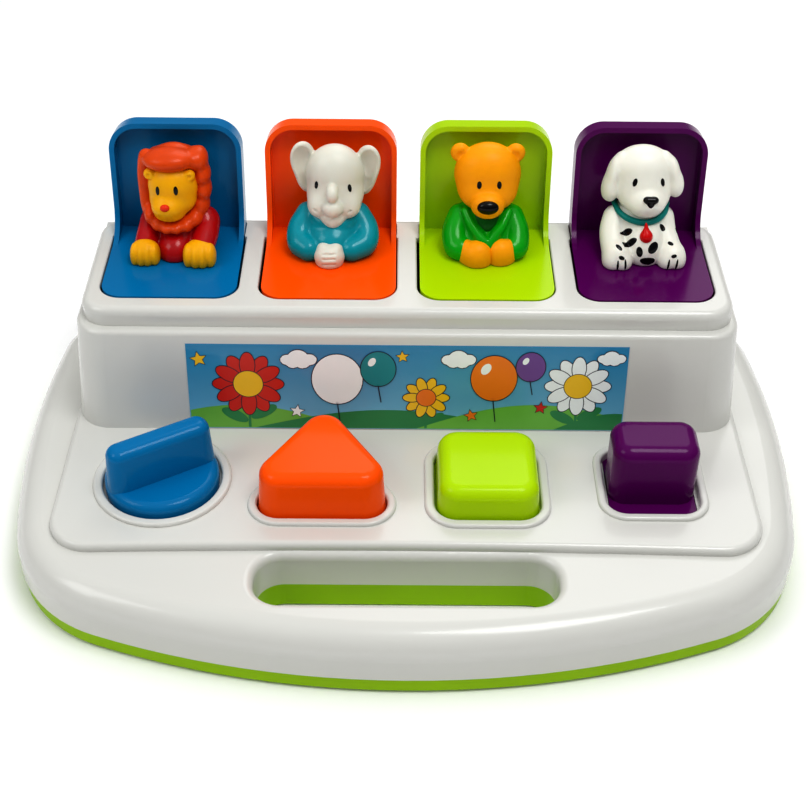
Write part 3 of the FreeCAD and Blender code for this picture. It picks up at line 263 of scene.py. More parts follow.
def net(f, lo, hi, h):
    """surface net of f = 0 on a grid: smooth quads"""
    lo, hi = np.array(lo, float), np.array(hi, float)
    n = np.ceil((hi - lo) / h).astype(int) + 1
    ax = [lo[i] + h * np.arange(n[i]) for i in range(3)]
    G = np.stack(np.meshgrid(*ax, indexing="ij"), -1)
    V = np.empty(n)
    flat = G.reshape(-1, 3)
    out = np.empty(len(flat))
    for s in range(0, len(flat), 400000):
        out[s:s + 400000] = f(flat[s:s + 400000])
    V = out.reshape(n)
    inside = V < 0
    corners = [(i, j, k) for i in (0, 1) for j in (0, 1) for k in (0, 1)]
    c0 = [slice(0, n[i] - 1) for i in range(3)]

    def shifted(A, o):
        return A[o[0]:n[0] - 1 + o[0], o[1]:n[1] - 1 + o[1], o[2]:n[2] - 1 + o[2]]
    cnt = sum(shifted(inside, o).astype(int) for o in corners)
    active = (cnt > 0) & (cnt < 8)
    acc = np.zeros(active.shape + (3,))
    num = np.zeros(active.shape)
    for a in range(len(corners)):
        for b in range(a + 1, len(corners)):
            oa, ob = np.array(corners[a]), np.array(corners[b])
            if np.abs(oa - ob).sum() != 1:
                continue
            va, vb = shifted(V, oa), shifted(V, ob)
            cross = ((va < 0) != (vb < 0)) & active
            t = np.where(cross, va / np.where(va == vb, 1, va - vb), 0)
            for i in range(3):
                acc[..., i] += np.where(cross, oa[i] + (ob[i] - oa[i]) * t, 0)
            num += cross
    idx = -np.ones(active.shape, int)
    where = np.argwhere(active)
    idx[active] = np.arange(len(where))
    verts = lo + h * (where + acc[active] / num[active][:, None])
    faces = []
    for axis in range(3):
        u, v = [(1, 2), (2, 0), (0, 1)][axis]
        sl0 = [slice(None)] * 3
        sl1 = [slice(None)] * 3
        sl0[axis], sl1[axis] = slice(0, n[axis] - 1), slice(1, n[axis])
        A, B = inside[tuple(sl0)], inside[tuple(sl1)]
        cross = np.argwhere(A != B)
        cross = cross[(cross[:, u] > 0) & (cross[:, v] > 0) & (cross[:, u] < n[u] - 1) & (cross[:, v] < n[v] - 1)]
        a_in = A[tuple(cross.T)]
        eu, ev = np.zeros(3, int), np.zeros(3, int)
        eu[u] = 1
        ev[v] = 1
        q = [idx[tuple((cross - eu - ev).T)], idx[tuple((cross - ev).T)], idx[tuple(cross.T)], idx[tuple((cross - eu).T)]]
        Q = np.stack(q, 1)
        Q[~a_in] = Q[~a_in][:, ::-1]
        faces.append(Q)
    return verts, np.concatenate(faces)


def lump(name, f, lo, hi, mat, body, xc, h=None, slot=None, relax=1):
    """meshes f and puts it on the row frame; local origin is at the lid's centre line, on its floor"""
    h = h or (0.5)
    v, q = net(f, lo, hi, h)
    if len(v) == 0:
        raise RuntimeError("nothing to show for " + name)
    v = v + np.array([xc, 0, FLOOR_Z])
    me = bpy.data.meshes.new(name)
    me.from_pydata((v * MM).tolist(), [], q.tolist())
    me.polygons.foreach_set("use_smooth", [True] * len(me.polygons))
    me.materials.append(M[mat])
    me.update()
    o = bpy.data.objects.new(name, me)
    bpy.context.scene.collection.objects.link(o)
    if relax:
        s = o.modifiers.new("relax", "SMOOTH")
        s.factor = 0.5
        s.iterations = relax
        dg = bpy.context.evaluated_depsgraph_get()
        me2 = bpy.data.meshes.new_from_object(o.evaluated_get(dg))
        o.modifiers.clear()
        o.data = me2
        me2.name = name
    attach(o, body)
    return o


def hit(f, xc, u, w, y0=62.0):
    """where the sight line through (x = u, z = w) on the plane y = y0 first meets f"""
    cam = np.array([CAM[0] - xc, CAM[1], CAM[2] - FLOOR_Z])
    p = np.array([u, y0, w])
    d = (p - cam) / np.linalg.norm(p - cam)
    t0 = np.linalg.norm(p - cam) - 40.0
    ts = t0 + np.arange(0, 90, 0.1)
    P = cam + ts[:, None] * d
    v = f(P)
    k = np.argmax(v < 0)
    if not (v < 0).any():
        k = np.argmin(v)
    return P[k]


def normal(f, p):
    e = 0.05
    P = np.array([p + np.array(s) * e for s in ((1, 0, 0), (-1, 0, 0), (0, 1, 0), (0, -1, 0), (0, 0, 1), (0, 0, -1))])
    v = f(P)
    g = np.array([v[0] - v[1], v[2] - v[3], v[4] - v[5]])
    return g / np.linalg.norm(g)


def patch(f, p, rx, rz, spin=0.0, lift=0.14, depth=3.2):
    """a painted spot: the skin of f, lifted a hair, inside an oval prism that looks at p along its normal"""
    n = normal(f, p)
    up = np.array([0, 0, 1.0])
    u = np.cross(up, n)
    u /= np.linalg.norm(u)
    w = np.cross(n, u)
    a = math.radians(spin)
    u2, w2 = u * math.cos(a) + w * math.sin(a), -u * math.sin(a) + w * math.cos(a)

    def g(P):
        q = P - p
        a_, b_, c_ = q @ u2, q @ w2, q @ n
        k0 = np.hypot(a_ / rx, b_ / rz)
        d = (k0 - 1.0) * min(rx, rz)
        return np.maximum(d, np.abs(c_) - depth)
    return si(0.0, off(f, lift), g)


LO, HI = (-24, 48, -1), (24, 94, 50)
OUT = {}


def near(p, r):
    return tuple(np.array(p) - r), tuple(np.array(p) + r)


def eye(name, f, p, rx, rz, body, xc, spin=0.0, mat="black", lift=0.22):
    lo, hi = near(p, max(rx, rz) + 1.2)
    return lump(name, patch(f, p, rx, rz, spin, lift), lo, hi, mat, body, xc, h=0.16, relax=1)


# ------------------------------------------------------------------ the figures' shapes
def bend(pts, rs, n=5):
    """a smooth tube through the points: Catmull-Rom centre line, radius eased along it"""
    P_ = [np.array(p, float) for p in pts]
    P_ = [2 * P_[0] - P_[1]] + P_ + [2 * P_[-1] - P_[-2]]
    out, rad = [], []
    for i in range(1, len(P_) - 2):
        for j in range(n):
            t = j / n
            a, b, c, d = P_[i - 1], P_[i], P_[i + 1], P_[i + 2]
            out.append(0.5 * ((2 * b) + (c - a) * t + (2 * a - 5 * b + 4 * c - d) * t * t + (3 * b - a - 3 * c + d) * t ** 3))
            e = t * t * (3 - 2 * t)
            rad.append(rs[i - 1] + (rs[i] - rs[i - 1]) * e)
    out.append(P_[-2])
    rad.append(rs[-1])
    return chain(out, rad, 0.25)


def paw(cx, cy, rx, ry, top, toes=4):
    """a rounded foot that meets the floor steeply, with toes fanned across its front"""
    cz, rz = top * 0.40, top * 0.60
    fs = [ell((cx, cy + 0.4, cz), (rx, ry * 0.98, rz)), ell((cx, cy + 0.6, 1.0), (rx * 0.93, ry * 0.95, 3.6))]
    for i in range(toes):
        o_ = (i - (toes - 1) / 2) * (2 * rx / (toes + 0.3))
        fs.append(ell((cx + o_, cy - ry * 0.34 + 0.05 * o_ * o_, cz - 0.9), (rx * 1.12 / toes + 0.45, ry * 0.78, rz * 0.93)))
    return seat(su(0.75, *fs), 0.5)


# ------------------------------------------------------------------ lion
XL = -99.0
B = "lid_assembly_blue"
face_l = su(2.2, ell((0.2, 73.4, 28.6), (10.5, 9.0, 10.6)), ell((-0.2, 72.0, 22.6), (9.8, 8.4, 6.6)), ell((-1.9, 66.2, 22.0), (6.6, 5.8, 4.8)), ell((-1.4, 67.2, 18.4), (6.2, 4.6, 3.2)))
ears_l = su(0.6, ss(0.6, sph((-8.8, 70.6, 35.4), 2.4), sph((-9.0, 68.3, 35.6), 1.1)), ss(0.6, sph((7.8, 70.4, 34.8), 2.5), sph((8.0, 68.0, 35.0), 1.1)))
face_all = su(1.0, face_l, ears_l)
hood = ell((0.6, 80.0, 27.4), (13.9, 9.4, 17.0))
left_wall = bend([(-10.4, 77.0, 40.0), (-12.2, 76.0, 34.0), (-12.3, 75.0, 26.0), (-11.4, 73.4, 18.4), (-9.6, 71.6, 14.4)], [3.2, 2.4, 2.4, 2.8, 3.0])
locks = [((11.6, 77.8, 38.6), 3.6, 5.2), ((12.4, 77.2, 32.0), 3.5, 5.0), ((12.4, 76.6, 25.2), 3.5, 5.0), ((11.2, 75.2, 18.8), 3.6, 4.9), ((8.6, 71.4, 14.8), 3.7, 4.0),
         ((5.2, 68.6, 13.4), 3.5, 3.4), ((1.2, 67.4, 12.8), 3.3, 3.0), ((-2.8, 67.4, 12.8), 3.3, 3.0), ((-6.6, 68.6, 13.8), 3.3, 3.4), ((-9.8, 71.0, 16.4), 3.0, 4.2)]
lock_f = [ell(c, (r, 6.4, h_)) for c, r, h_ in locks]
cap_f = [ell((-0.7, 74.4, 40.0), (11.0, 8.4, 4.9), (-8, 0, 0)), ell((9.4, 77.4, 39.2), (4.2, 6.6, 4.6), (0, 26, 0)), ell((0.3, 81.6, 37.0), (11.4, 7.4, 5.6))]
back_l = [ell((x, 86.0 - 0.02 * x * x, z), (4.0, 3.2, 4.4)) for x, z in ((-7.5, 35.5), (0, 36.0), (7.6, 35.5), (-9.6, 29.0), (-3.4, 29.6), (3.6, 29.6), (9.8, 29.0), (-8.4, 21.4), (0.2, 21.6), (8.6, 21.4), (-4.4, 14.4), (4.6, 14.4))]
mane = su(0.9, ss(0.7, su(1.5, hood, left_wall, *lock_f), ell((-0.6, 62.8, 27.6), (10.8, 12.6, 12.6))), *(cap_f + back_l))
lump("lion_mane", mane, LO, HI, "mane", B, XL)
lump("lion_face", face_all, LO, HI, "yellow", B, XL)
for nm, u, w in (("l", -4.5, 32.3), ("r", 3.0, 32.4)):
    eye("lion_eye_" + nm, face_all, hit(face_all, XL, u, w), 0.92, 1.95, B, XL)
pn = hit(face_all, XL, -2.4, 23.6)
lump("lion_nose", ell(pn + np.array([0, 0.4, 0.1]), (2.0, 1.5, 1.6)), *near(pn, 4), "nose_red", B, XL, h=0.25)
torso_l = su(2.2, ell((1.2, 76.0, 7.6), (13.6, 11.0, 11.6)), ell((0.0, 68.6, 1.2), (8.8, 12.0, 9.2)),
             ell((-9.8, 74.0, 11.0), (5.2, 5.8, 6.0)), ell((12.4, 74.0, 11.2), (5.8, 6.0, 6.2)))
sl_l = bend([(-10.6, 73.6, 10.0), (-11.4, 68.0, 7.8), (-12.2, 62.4, 5.4), (-12.3, 60.2, 4.6)], [5.0, 4.9, 4.7, 4.7])
sl_r = bend([(13.2, 73.4, 10.4), (13.0, 67.6, 8.2), (11.9, 61.6, 5.6), (11.4, 59.6, 4.8)], [5.4, 5.3, 5.1, 5.1])
lump("lion_body", seat(su(1.1, torso_l, sl_l, sl_r)), LO, HI, "red_jumper", B, XL)
lump("lion_paw_l", paw(-12.1, 59.6, 6.0, 5.7, 9.8), LO, HI, "yellow", B, XL)
lump("lion_paw_r", paw(11.0, 58.6, 6.7, 6.1, 10.2), LO, HI, "yellow", B, XL)

# ------------------------------------------------------------------ elephant
XE = -33.0
B = "lid_assembly_orange"
skull = su(3.2, ell((2.0, 79.0, 31.4), (12.3, 10.4, 13.0)), ell((2.1, 75.4, 23.8), (12.1, 9.0, 7.6)), ell((-4.2, 70.4, 20.4), (5.2, 5.0, 4.8)), ell((7.4, 70.4, 20.4), (5.2, 5.0, 4.8)))
upper_e = ell((1.2, 66.4, 22.4), (4.9, 4.8, 3.9))
lip_e = su(1.6, ell((1.2, 69.0, 16.8), (5.8, 5.6, 3.8)), ell((1.2, 68.4, 15.0), (3.8, 4.8, 2.9)))
smile = bend([(-6.4, 66.4, 21.2), (-4.2, 63.6, 19.2), (-1.4, 62.4, 17.9), (1.2, 62.1, 17.5), (3.8, 62.4, 17.9), (6.6, 63.6, 19.2), (8.8, 66.4, 21.2)], [0.4, 0.85, 1.0, 1.05, 1.0, 0.85, 0.4])
trunk = bend([(1.2, 69.6, 30.6), (1.2, 66.2, 30.2), (1.2, 65.2, 28.6), (1.2, 66.4, 27.4)], [1.6, 2.5, 2.6, 2.2])
face_e = su(1.5, skull, lip_e)
head_e = su(0.9, ss(0.5, su(0.8, face_e, upper_e), smile), trunk)


def ear_e(s, cx, cz, lean, yaw_):
    o_ = su(3.0, ell((cx, 81.2, cz + 3.4), (5.6, 2.7, 7.6), (0, lean, yaw_)), ell((cx - s * 0.5, 80.6, cz - 5.4), (3.7, 2.6, 8.0), (0, lean + s * 8, yaw_)))
    i_ = su(2.4, ell((cx + s * 0.1, 78.9, cz + 3.6), (4.3, 2.6, 6.1), (0, lean, yaw_)), ell((cx - s * 0.6, 78.2, cz - 4.2), (2.4, 2.3, 6.4), (0, lean + s * 8, yaw_)))
    return ss(0.7, o_, i_)


ears_e = su(0.4, ear_e(-1, -11.6, 34.2, -6, 26), ear_e(1, 16.0, 32.8, 12, -26))
lump("elephant_head", su(1.0, head_e, ears_e), LO, HI, "ivory", B, XE)
for nm, u, w in (("l", -4.9, 35.9), ("r", 8.7, 34.5)):
    eye("elephant_eye_" + nm, head_e, hit(head_e, XE, u, w), 0.85, 1.7, B, XE, spin=3 if nm == "r" else -3)
torso_e = su(2.6, ell((1.0, 75.6, 6.4), (15.6, 12.0, 13.4)), ell((1.0, 76.5, 15.0), (10.8, 9.4, 7.6)), ell((0.8, 68.4, 4.4), (10.8, 10.4, 9.6)))
arm_e = [bend([(-9.6, 75.6, 13.4), (-12.6, 71.4, 8.6), (-12.6, 66.2, 5.2), (-9.2, 62.2, 4.2)], [5.4, 5.8, 5.8, 5.2]),
         bend([(11.6, 75.6, 13.4), (14.6, 71.4, 8.6), (14.2, 66.2, 5.2), (9.2, 62.2, 4.2)], [5.3, 5.7, 5.7, 5.2])]
col_e = tor((1.6, 75.4, 15.8), 8.6, 2.4, (16, 0, 0), 1.10, 1.0)
body_e = su(0.8, su(1.4, torso_e, col_e), *arm_e)
lump("elephant_body", seat(body_e), LO, HI, "teal", B, XE)
hand_e = su(0.6, ell((-0.2, 58.2, 3.4), (6.5, 5.6, 5.4)), ell((-2.2, 59.6, 6.2), (3.4, 3.8, 2.9)), ell((2.2, 59.6, 6.2), (3.4, 3.8, 2.9)), ell((-0.2, 58.4, 0.8), (6.0, 5.4, 4.0)))
grooves = []
for u, w in ((-0.6, 1.6), (-0.6, -1.0), (-0.6, -3.6)):
    a_, c_ = hit(hand_e, XE, u - 2.7, w - 0.1), hit(hand_e, XE, u + 2.6, w + 0.1)
    m_ = hit(hand_e, XE, u, w)
    grooves += [cap(a_, m_, 0.42), cap(m_, c_, 0.42)]
lump("elephant_hands", seat(ss(0.25, hand_e, *grooves)), LO, HI, "hand_ivory", B, XE, h=0.4)

# ------------------------------------------------------------------ bear
XB = 33.0
B = "lid_assembly_lime"
head_b = su(3.0, ell((0.3, 79.0, 32.2), (14.1, 10.8, 13.6)), ell((0.5, 75.5, 25.4), (12.2, 9.4, 8.4)))
ear_b = []
for cx in (-11.5, 11.7):
    ear_b.append(ss(1.0, ell((cx, 80.4, 41.2), (4.1, 2.9, 4.2)), ell((cx * 0.99, 77.1, 41.0), (2.4, 1.5, 2.4))))
muz_b = ell((0.2, 67.2, 23.8), (7.2, 5.8, 6.0))
head_all_b = su(0.9, head_b, muz_b, *ear_b)
lump("bear_head", head_all_b, LO, HI, "bear", B, XB)
for nm, u, w in (("l", -4.0, 36.4), ("r", 4.2, 36.5)):
    eye("bear_eye_" + nm, head_all_b, hit(head_all_b, XB, u, w), 0.98, 1.65, B, XB)
pn = hit(head_all_b, XB, 0.1, 25.0)
lump("bear_nose", ell(pn + np.array([0, 0.9, 0.0]), (4.5, 2.5, 3.0)), *near(pn, 6), "black", B, XB, h=0.25)
torso_b = su(2.6, ell((0.4, 75.6, 6.6), (15.2, 12.0, 13.2)), ell((0.4, 76.5, 14.6), (12.0, 9.6, 7.4)), ell((0.4, 68.6, 4.0), (11.0, 10.4, 9.4)))
arm_b = [bend([(-10.6, 75.0, 13.4), (-12.7, 70.4, 8.8), (-12.2, 65.4, 5.0), (-10.4, 63.2, 4.4)], [5.5, 5.7, 5.7, 5.3]),
         bend([(11.0, 75.0, 13.4), (13.1, 70.4, 8.8), (12.9, 65.4, 5.0), (11.4, 63.4, 4.4)], [5.4, 5.5, 5.5, 5.1])]
neck_v = cap((0.8, 61.0, 10.2), (0.5, 66.0, 18.6), 0.9, 5.0)
lap = [bend([(-9.0, 70.4, 18.6), (-6.2, 65.8, 14.6), (-2.6, 62.2, 10.6), (0.9, 60.6, 7.6)], [1.7, 1.9, 1.8, 1.5]),
       bend([(9.4, 70.4, 18.6), (6.6, 65.8, 14.6), (3.4, 62.6, 10.8), (1.6, 61.4, 8.0)], [1.7, 1.9, 1.8, 1.3])]
body_b = su(0.8, su(1.7, ss(0.5, torso_b, neck_v), *lap), *arm_b)
lump("bear_body", seat(body_b), LO, HI, "green_jacket", B, XB)
# the neck inside the V, coloured the darker green that paints the shade in that recess
lump("bear_neck", seat(ell((0.4, 72.6, 12.4), (8.6, 7.8, 9.0))), LO, HI, "green_painted_shade", B, XB)
lump("bear_hand_l", seat(su(1.4, ell((-3.5, 59.6, 3.8), (6.6, 5.7, 6.6), (0, 4, 10)), ell((-8.2, 61.8, 3.6), (4.0, 5.0, 5.9)), ell((-3.4, 59.8, 1.0), (6.0, 5.2, 4.0)))), LO, HI, "bear", B, XB)
lump("bear_hand_r", seat(su(1.4, ell((6.0, 61.0, 3.8), (6.0, 5.4, 6.6), (0, -4, -8)), ell((9.6, 62.4, 3.6), (4.0, 4.8, 5.9)), ell((6.2, 61.2, 1.0), (5.6, 5.0, 4.0)))), LO, HI, "bear", B, XB)

# ------------------------------------------------------------------ puppy
XP = 99.0
B = "lid_assembly_purple"
skull_p = su(3.2, ell((-0.6, 79.2, 34.8), (12.9, 9.8, 10.4)), ell((0.0, 76.0, 27.6), (11.6, 9.4, 8.8)), ell((0.6, 73.4, 24.0), (10.0, 8.0, 5.8)))
muz_p = su(1.9, ell((1.0, 68.4, 24.4), (7.6, 6.6, 5.0)), ell((1.4, 66.2, 26.8), (4.9, 4.6, 3.9)), ell((0.8, 69.6, 21.4), (6.2, 5.2, 3.2)))
ear_p = [su(2.4, ell((-10.8, 78.8, 37.4), (3.0, 4.6, 5.4), (0, 20, 0)), ell((-13.8, 77.2, 31.0), (2.7, 5.2, 8.8), (0, 11, 0)), ell((-13.6, 76.4, 26.4), (3.3, 5.2, 5.2))),
         su(2.4, ell((9.4, 78.8, 38.0), (3.0, 4.6, 5.4), (0, -20, 0)), ell((13.0, 77.2, 32.4), (2.7, 5.2, 8.4), (0, -13, 0)), ell((13.6, 76.4, 28.8), (3.2, 5.2, 5.0)))]
head_p = su(1.1, su(2.2, skull_p, muz_p), *ear_p)
lump("puppy_head", head_p, LO, HI, "white_vinyl", B, XP)
for nm, u, w in (("l", -6.2, 38.3), ("r", 5.1, 38.5)):
    eye("puppy_eye_" + nm, head_p, hit(head_p, XP, u, w), 0.95, 1.75, B, XP, spin=-8 if nm == "l" else 4)
pn = hit(head_p, XP, 1.5, 28.6)
lump("puppy_nose", su(1.3, ell(pn + np.array([-1.35, 0.8, 0.8]), (1.9, 1.7, 1.5)), ell(pn + np.array([1.35, 0.8, 0.8]), (1.9, 1.7, 1.5)), ell(pn + np.array([0, 0.6, -1.3]), (1.6, 1.5, 1.6))), *near(pn, 5), "black", B, XP, h=0.22)
torso_p = su(2.8, ell((0.0, 76.0, 7.6), (13.6, 11.4, 13.8)), ell((0.4, 76.8, 15.6), (11.2, 9.4, 7.2)), ell((1.4, 68.6, 4.2), (9.6, 12.0, 12.4)))
leg_p = [bend([(-10.6, 74.6, 13.8), (-11.9, 70.2, 9.6), (-11.6, 64.6, 5.8), (-10.8, 61.0, 4.6)], [5.2, 5.3, 5.3, 5.3]),
         bend([(9.6, 74.8, 14.0), (10.4, 70.4, 9.6), (12.0, 65.2, 5.6), (12.9, 62.2, 4.2)], [5.0, 4.9, 5.0, 5.1])]
paw_p = [su(0.9, ell((-10.4, 60.4, 3.4), (6.2, 6.0, 6.0)), ell((-12.2, 58.9, 2.0), (4.4, 5.2, 5.0)), ell((-8.2, 58.7, 2.0), (4.4, 5.2, 5.0))),
         su(0.9, ell((13.0, 61.2, 3.2), (6.0, 6.0, 5.8)), ell((14.8, 59.9, 1.8), (4.2, 5.0, 4.8)), ell((11.0, 59.7, 1.8), (4.3, 5.0, 4.8)))]
body_p = seat(su(0.9, torso_p, su(1.2, leg_p[0], paw_p[0]), su(1.2, leg_p[1], paw_p[1])))
lump("puppy_body", body_p, LO, HI, "white_vinyl", B, XP)
neck_p = ell((0.4, 75.4, 19.0), (11.4, 9.6, 7.0))
band = bend([(-11.2, 77.0, 19.6), (-9.6, 71.2, 18.4), (-5.5, 67.0, 17.4), (0.3, 65.2, 17.0), (5.9, 67.0, 17.4), (9.6, 71.2, 18.4), (11.2, 77.0, 19.6)], [1.15, 1.2, 1.3, 1.35, 1.3, 1.2, 1.15])
back_band = bend([(-11.2, 77.0, 19.6), (-9.8, 83.0, 21.0), (-4.2, 86.6, 21.8), (4.2, 86.6, 21.8), (9.8, 83.0, 21.0), (11.2, 77.0, 19.6)], [1.15] * 6)
lump("puppy_collar", su(0.4, band, back_band), LO, HI, "collar", B, XP, h=0.35)
pt = hit(body_p, XP, 1.4, 11.7)
drop = lambda c: su(1.5, sph(c, 2.7), cap(c + np.array([-0.1, 0.1, 0.8]), c + np.array([-0.5, 1.6, 5.6]), 1.9, 0.45))
lump("puppy_tag", drop(pt + np.array([0.1, 0.4, 0.0])), *near(pt, 8), "tag_red", B, XP, h=0.28)
SPOTS = [(-6.7, 14.3, 1.25, 2.0, -48), (-4.8, 9.0, 1.25, 2.7, -34), (-0.6, 4.3, 1.15, 1.9, 14), (5.1, 6.5, 1.7, 2.3, -48), (3.5, -0.4, 2.7, 1.55, -6),
         (7.4, 16.6, 0.95, 1.4, 8), (-9.5, 6.6, 0.7, 1.5, 34), (-7.8, 1.2, 1.1, 0.7, -24), (12.1, 8.7, 1.15, 0.75, -14), (14.4, 2.3, 1.0, 0.65, 14), (13.9, 14.7, 0.8, 1.5, -20)]
for i, (u, w, rx, rz, sp) in enumerate(SPOTS):
    p = hit(body_p, XP, u, w)
    lump("puppy_spot_%02d" % i, patch(body_p, p, rx * 1.22, rz * 1.2, sp, 0.18), *near(p, 3.8), "black", B, XP, h=0.2)
for i, (u, w) in enumerate([(-9.1, -2.8), (-5.8, -2.4), (12.6, -2.2), (16.1, -2.1)]):
    p = hit(body_p, XP, u, w)
    lump("puppy_toe_%d" % i, patch(body_p, p, 0.48, 2.5, -6 if i > 1 else 0, 0.12), *near(p, 3.0), "black", B, XP, h=0.18)

# ------------------------------------------------------------------ hide the CAD figure nodes; the meshed pieces above show the figures
for node_, first in (("lion", "lion_mane"), ("elephant", "elephant_head"), ("bear", "bear_head"), ("puppy", "puppy_head")):
    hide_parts(node_)

# ------------------------------------------------------------------ label artwork: thin printed shapes on the sloping front
SL = math.atan2(19.2 - 12.0, 77.2 - 32.0)


def label_point(s, t, lift):
    """s along x, t up the slope from the label's foot, lift off its face; mm"""
    z = 32.7 + t * math.cos(SL)
    y = 12.0 + 0.7 * math.tan(SL) - 0.27 + t * math.sin(SL)
    return (s, y - lift * math.cos(SL), z + lift * math.sin(SL))


M["art_white"] = material("art_white", rgb(240, 244, 244), rough=0.3, vary=0.01)
M["art_red"] = material("art_red", rgb(206, 44, 28), rough=0.3, vary=0.02)
M["art_yellow"] = material("art_yellow", rgb(240, 196, 40), rough=0.3, vary=0.02)
M["art_green"] = material("art_green", rgb(120, 186, 80), rough=0.3, vary=0.03)
M["art_dgreen"] = material("art_deep_green", rgb(54, 138, 84), rough=0.3, vary=0.03)
M["art_orange"] = material("art_orange", rgb(236, 130, 36), rough=0.3, vary=0.02)
M["art_purple"] = material("art_violet", rgb(120, 78, 150), rough=0.3, vary=0.02)
M["art_teal"] = material("art_teal", rgb(30, 142, 148), rough=0.3, vary=0.02)
M["art_line"] = material("art_line", rgb(30, 34, 52), rough=0.3, vary=0.02)
W, Hh = 90.6, 39.3
ART = {}
LAYER = {"n": 0}


def art(points, mat, layer):
    """one flat closed outline, clipped to the label, put into the mesh of its colour"""
    pts = [(min(max(x, -W), W), min(max(y, 0.3), Hh)) for x, y in points]
    keep = [pts[0]]
    for p in pts[1:]:
        if abs(p[0] - keep[-1][0]) + abs(p[1] - keep[-1][1]) > 1e-4:
            keep.append(p)
    vs = [label_point(x, y, 0.02 + 0.012 * layer) for x, y in keep]
    ART.setdefault(mat, []).append(vs)


def oval(cx, cy, rx, ry, n=40, spin=0.0, a0=0.0, a1=360.0):
    out = []
    s = math.radians(spin)
    for i in range(n):
        a = math.radians(a0 + (a1 - a0) * i / (n if a1 - a0 >= 360 else n - 1))
        x, y = rx * math.cos(a), ry * math.sin(a)
        out.append((cx + x * math.cos(s) - y * math.sin(s), cy + x * math.sin(s) + y * math.cos(s)))
    return out


def line(p, q, w, mat, layer):
    d = math.hypot(q[0] - p[0], q[1] - p[1])
    nx, ny = -(q[1] - p[1]) / d * w / 2, (q[0] - p[0]) / d * w / 2
    art([(p[0] + nx, p[1] + ny), (p[0] - nx, p[1] - ny), (q[0] - nx, q[1] - ny), (q[0] + nx, q[1] + ny)], mat, layer)


def flower(cx, cy, r, petal, centre, n=10, layer=8, stem=True):
    if stem:
        line((cx, 0.6), (cx, cy), 1.1, "art_dgreen", layer - 1)
        art(oval(cx + r * 0.42, cy * 0.38, r * 0.42, r * 0.17, 24, 28), "art_dgreen", layer - 1)
        art(oval(cx - r * 0.42, cy * 0.30, r * 0.42, r * 0.17, 24, 152), "art_dgreen", layer - 1)
    for i in range(n):
        a = 2 * math.pi * i / n
        up = 2 * (i % 2)
        art(oval(cx + 0.62 * r * math.cos(a), cy + 0.62 * r * math.sin(a), r * 0.40 + 0.35, r * 0.21 + 0.35, 24, math.degrees(a)), "art_line", layer + up)
        art(oval(cx + 0.62 * r * math.cos(a), cy + 0.62 * r * math.sin(a), r * 0.40, r * 0.21, 24, math.degrees(a)), petal, layer + up + 1)
    art(oval(cx, cy, r * 0.42 + 0.3, r * 0.42 + 0.3), "art_line", layer + 4)
    art(oval(cx, cy, r * 0.42, r * 0.42), centre, layer + 5)


def balloon(cx, cy, r, mat, layer):
    art([(cx - 0.9, cy - r * 1.12), (cx + 0.9, cy - r * 1.12), (cx, cy - r)], mat, layer + 1)
    art(oval(cx, cy, r + 0.35, r * 1.12 + 0.35), "art_line", layer)
    art(oval(cx, cy, r, r * 1.12), mat, layer + 1)
    art(oval(cx - r * 0.36, cy + r * 0.46, r * 0.20, r * 0.30, 20, -30), "art_white", layer + 2)
    line((cx, cy - r * 1.12), (cx + 1.2, max(1.0, cy - r * 2.2)), 0.4, "art_line", layer - 1)


def cloud(cx, cy, s, layer):
    # one outline drawn round all the puffs, so that nothing overlaps in a plane
    puffs = ((-1.25, 0, 0.8), (0, 0.35, 1.15), (1.3, 0.05, 0.85), (0.5, -0.35, 0.9), (-0.6, -0.35, 0.85))
    for grow, mat, l_ in ((0.35, "art_line", layer), (0.0, "art_white", layer + 1)):
        pts = []
        for i in range(72):
            a = 2 * math.pi * i / 72
            best = 0.0
            for k in range(60):
                t = 3.2 * s * (k + 1) / 60
                x, y = t * math.cos(a), t * math.sin(a)
                if any(((x - dx * s) / (r * s + grow)) ** 2 + ((y - dy * s) / (r * s * 0.85 + grow)) ** 2 <= 1 for dx, dy, r in puffs):
                    best = t
            pts.append((cx + best * math.cos(a), cy + best * math.sin(a)))
        art(pts, mat, l_)


def star(cx, cy, r, mat, layer, spin=0.0):
    for grow, m_, l_ in ((0.5, "art_line", layer), (0.0, mat, layer + 1)):
        pts = []
        for i in range(10):
            a = math.radians(90 + spin + 36 * i)
            k = (r + grow) if i % 2 == 0 else (r + grow) * 0.46
            pts.append((cx + k * math.cos(a), cy + k * math.sin(a)))
        art(pts, m_, l_)


# rolling ground
for k, (cx, w_, h_, m_) in enumerate(((-70, 46, 11, "art_green"), (-8, 56, 9, "art_dgreen"), (54, 50, 12, "art_green"), (88, 26, 8, "art_dgreen"))):
    art([(cx - w_ + 2 * w_ * i / 40, 0.3 + h_ * math.sin(math.pi * i / 40)) for i in range(41)], m_, 1 + k)
flower(-66, 21.5, 14.5, "art_red", "art_yellow", 12, 10)
flower(8, 15.5, 9.5, "art_yellow", "art_orange", 10, 10)
flower(71, 21.5, 13.5, "art_white", "art_yellow", 12, 10)
balloon(-29, 24, 10.5, "art_white", 16)
balloon(-12, 29, 7.2, "art_teal", 20)
balloon(36, 25, 9.5, "art_orange", 16)
balloon(51, 30.5, 6.0, "art_purple", 20)
cloud(-45, 33.0, 3.6, 6)
cloud(21, 33.5, 3.4, 6)
cloud(84, 34.5, 2.8, 6)
star(-86, 33, 3.4, "art_yellow", 6, 10)
star(-46, 8.5, 3.0, "art_white", 10, -8)
star(27, 7.0, 2.8, "art_orange", 14, 12)
star(-2, 34.8, 2.6, "art_yellow", 6, 5)
star(56, 11.0, 2.8, "art_red", 14, -6)
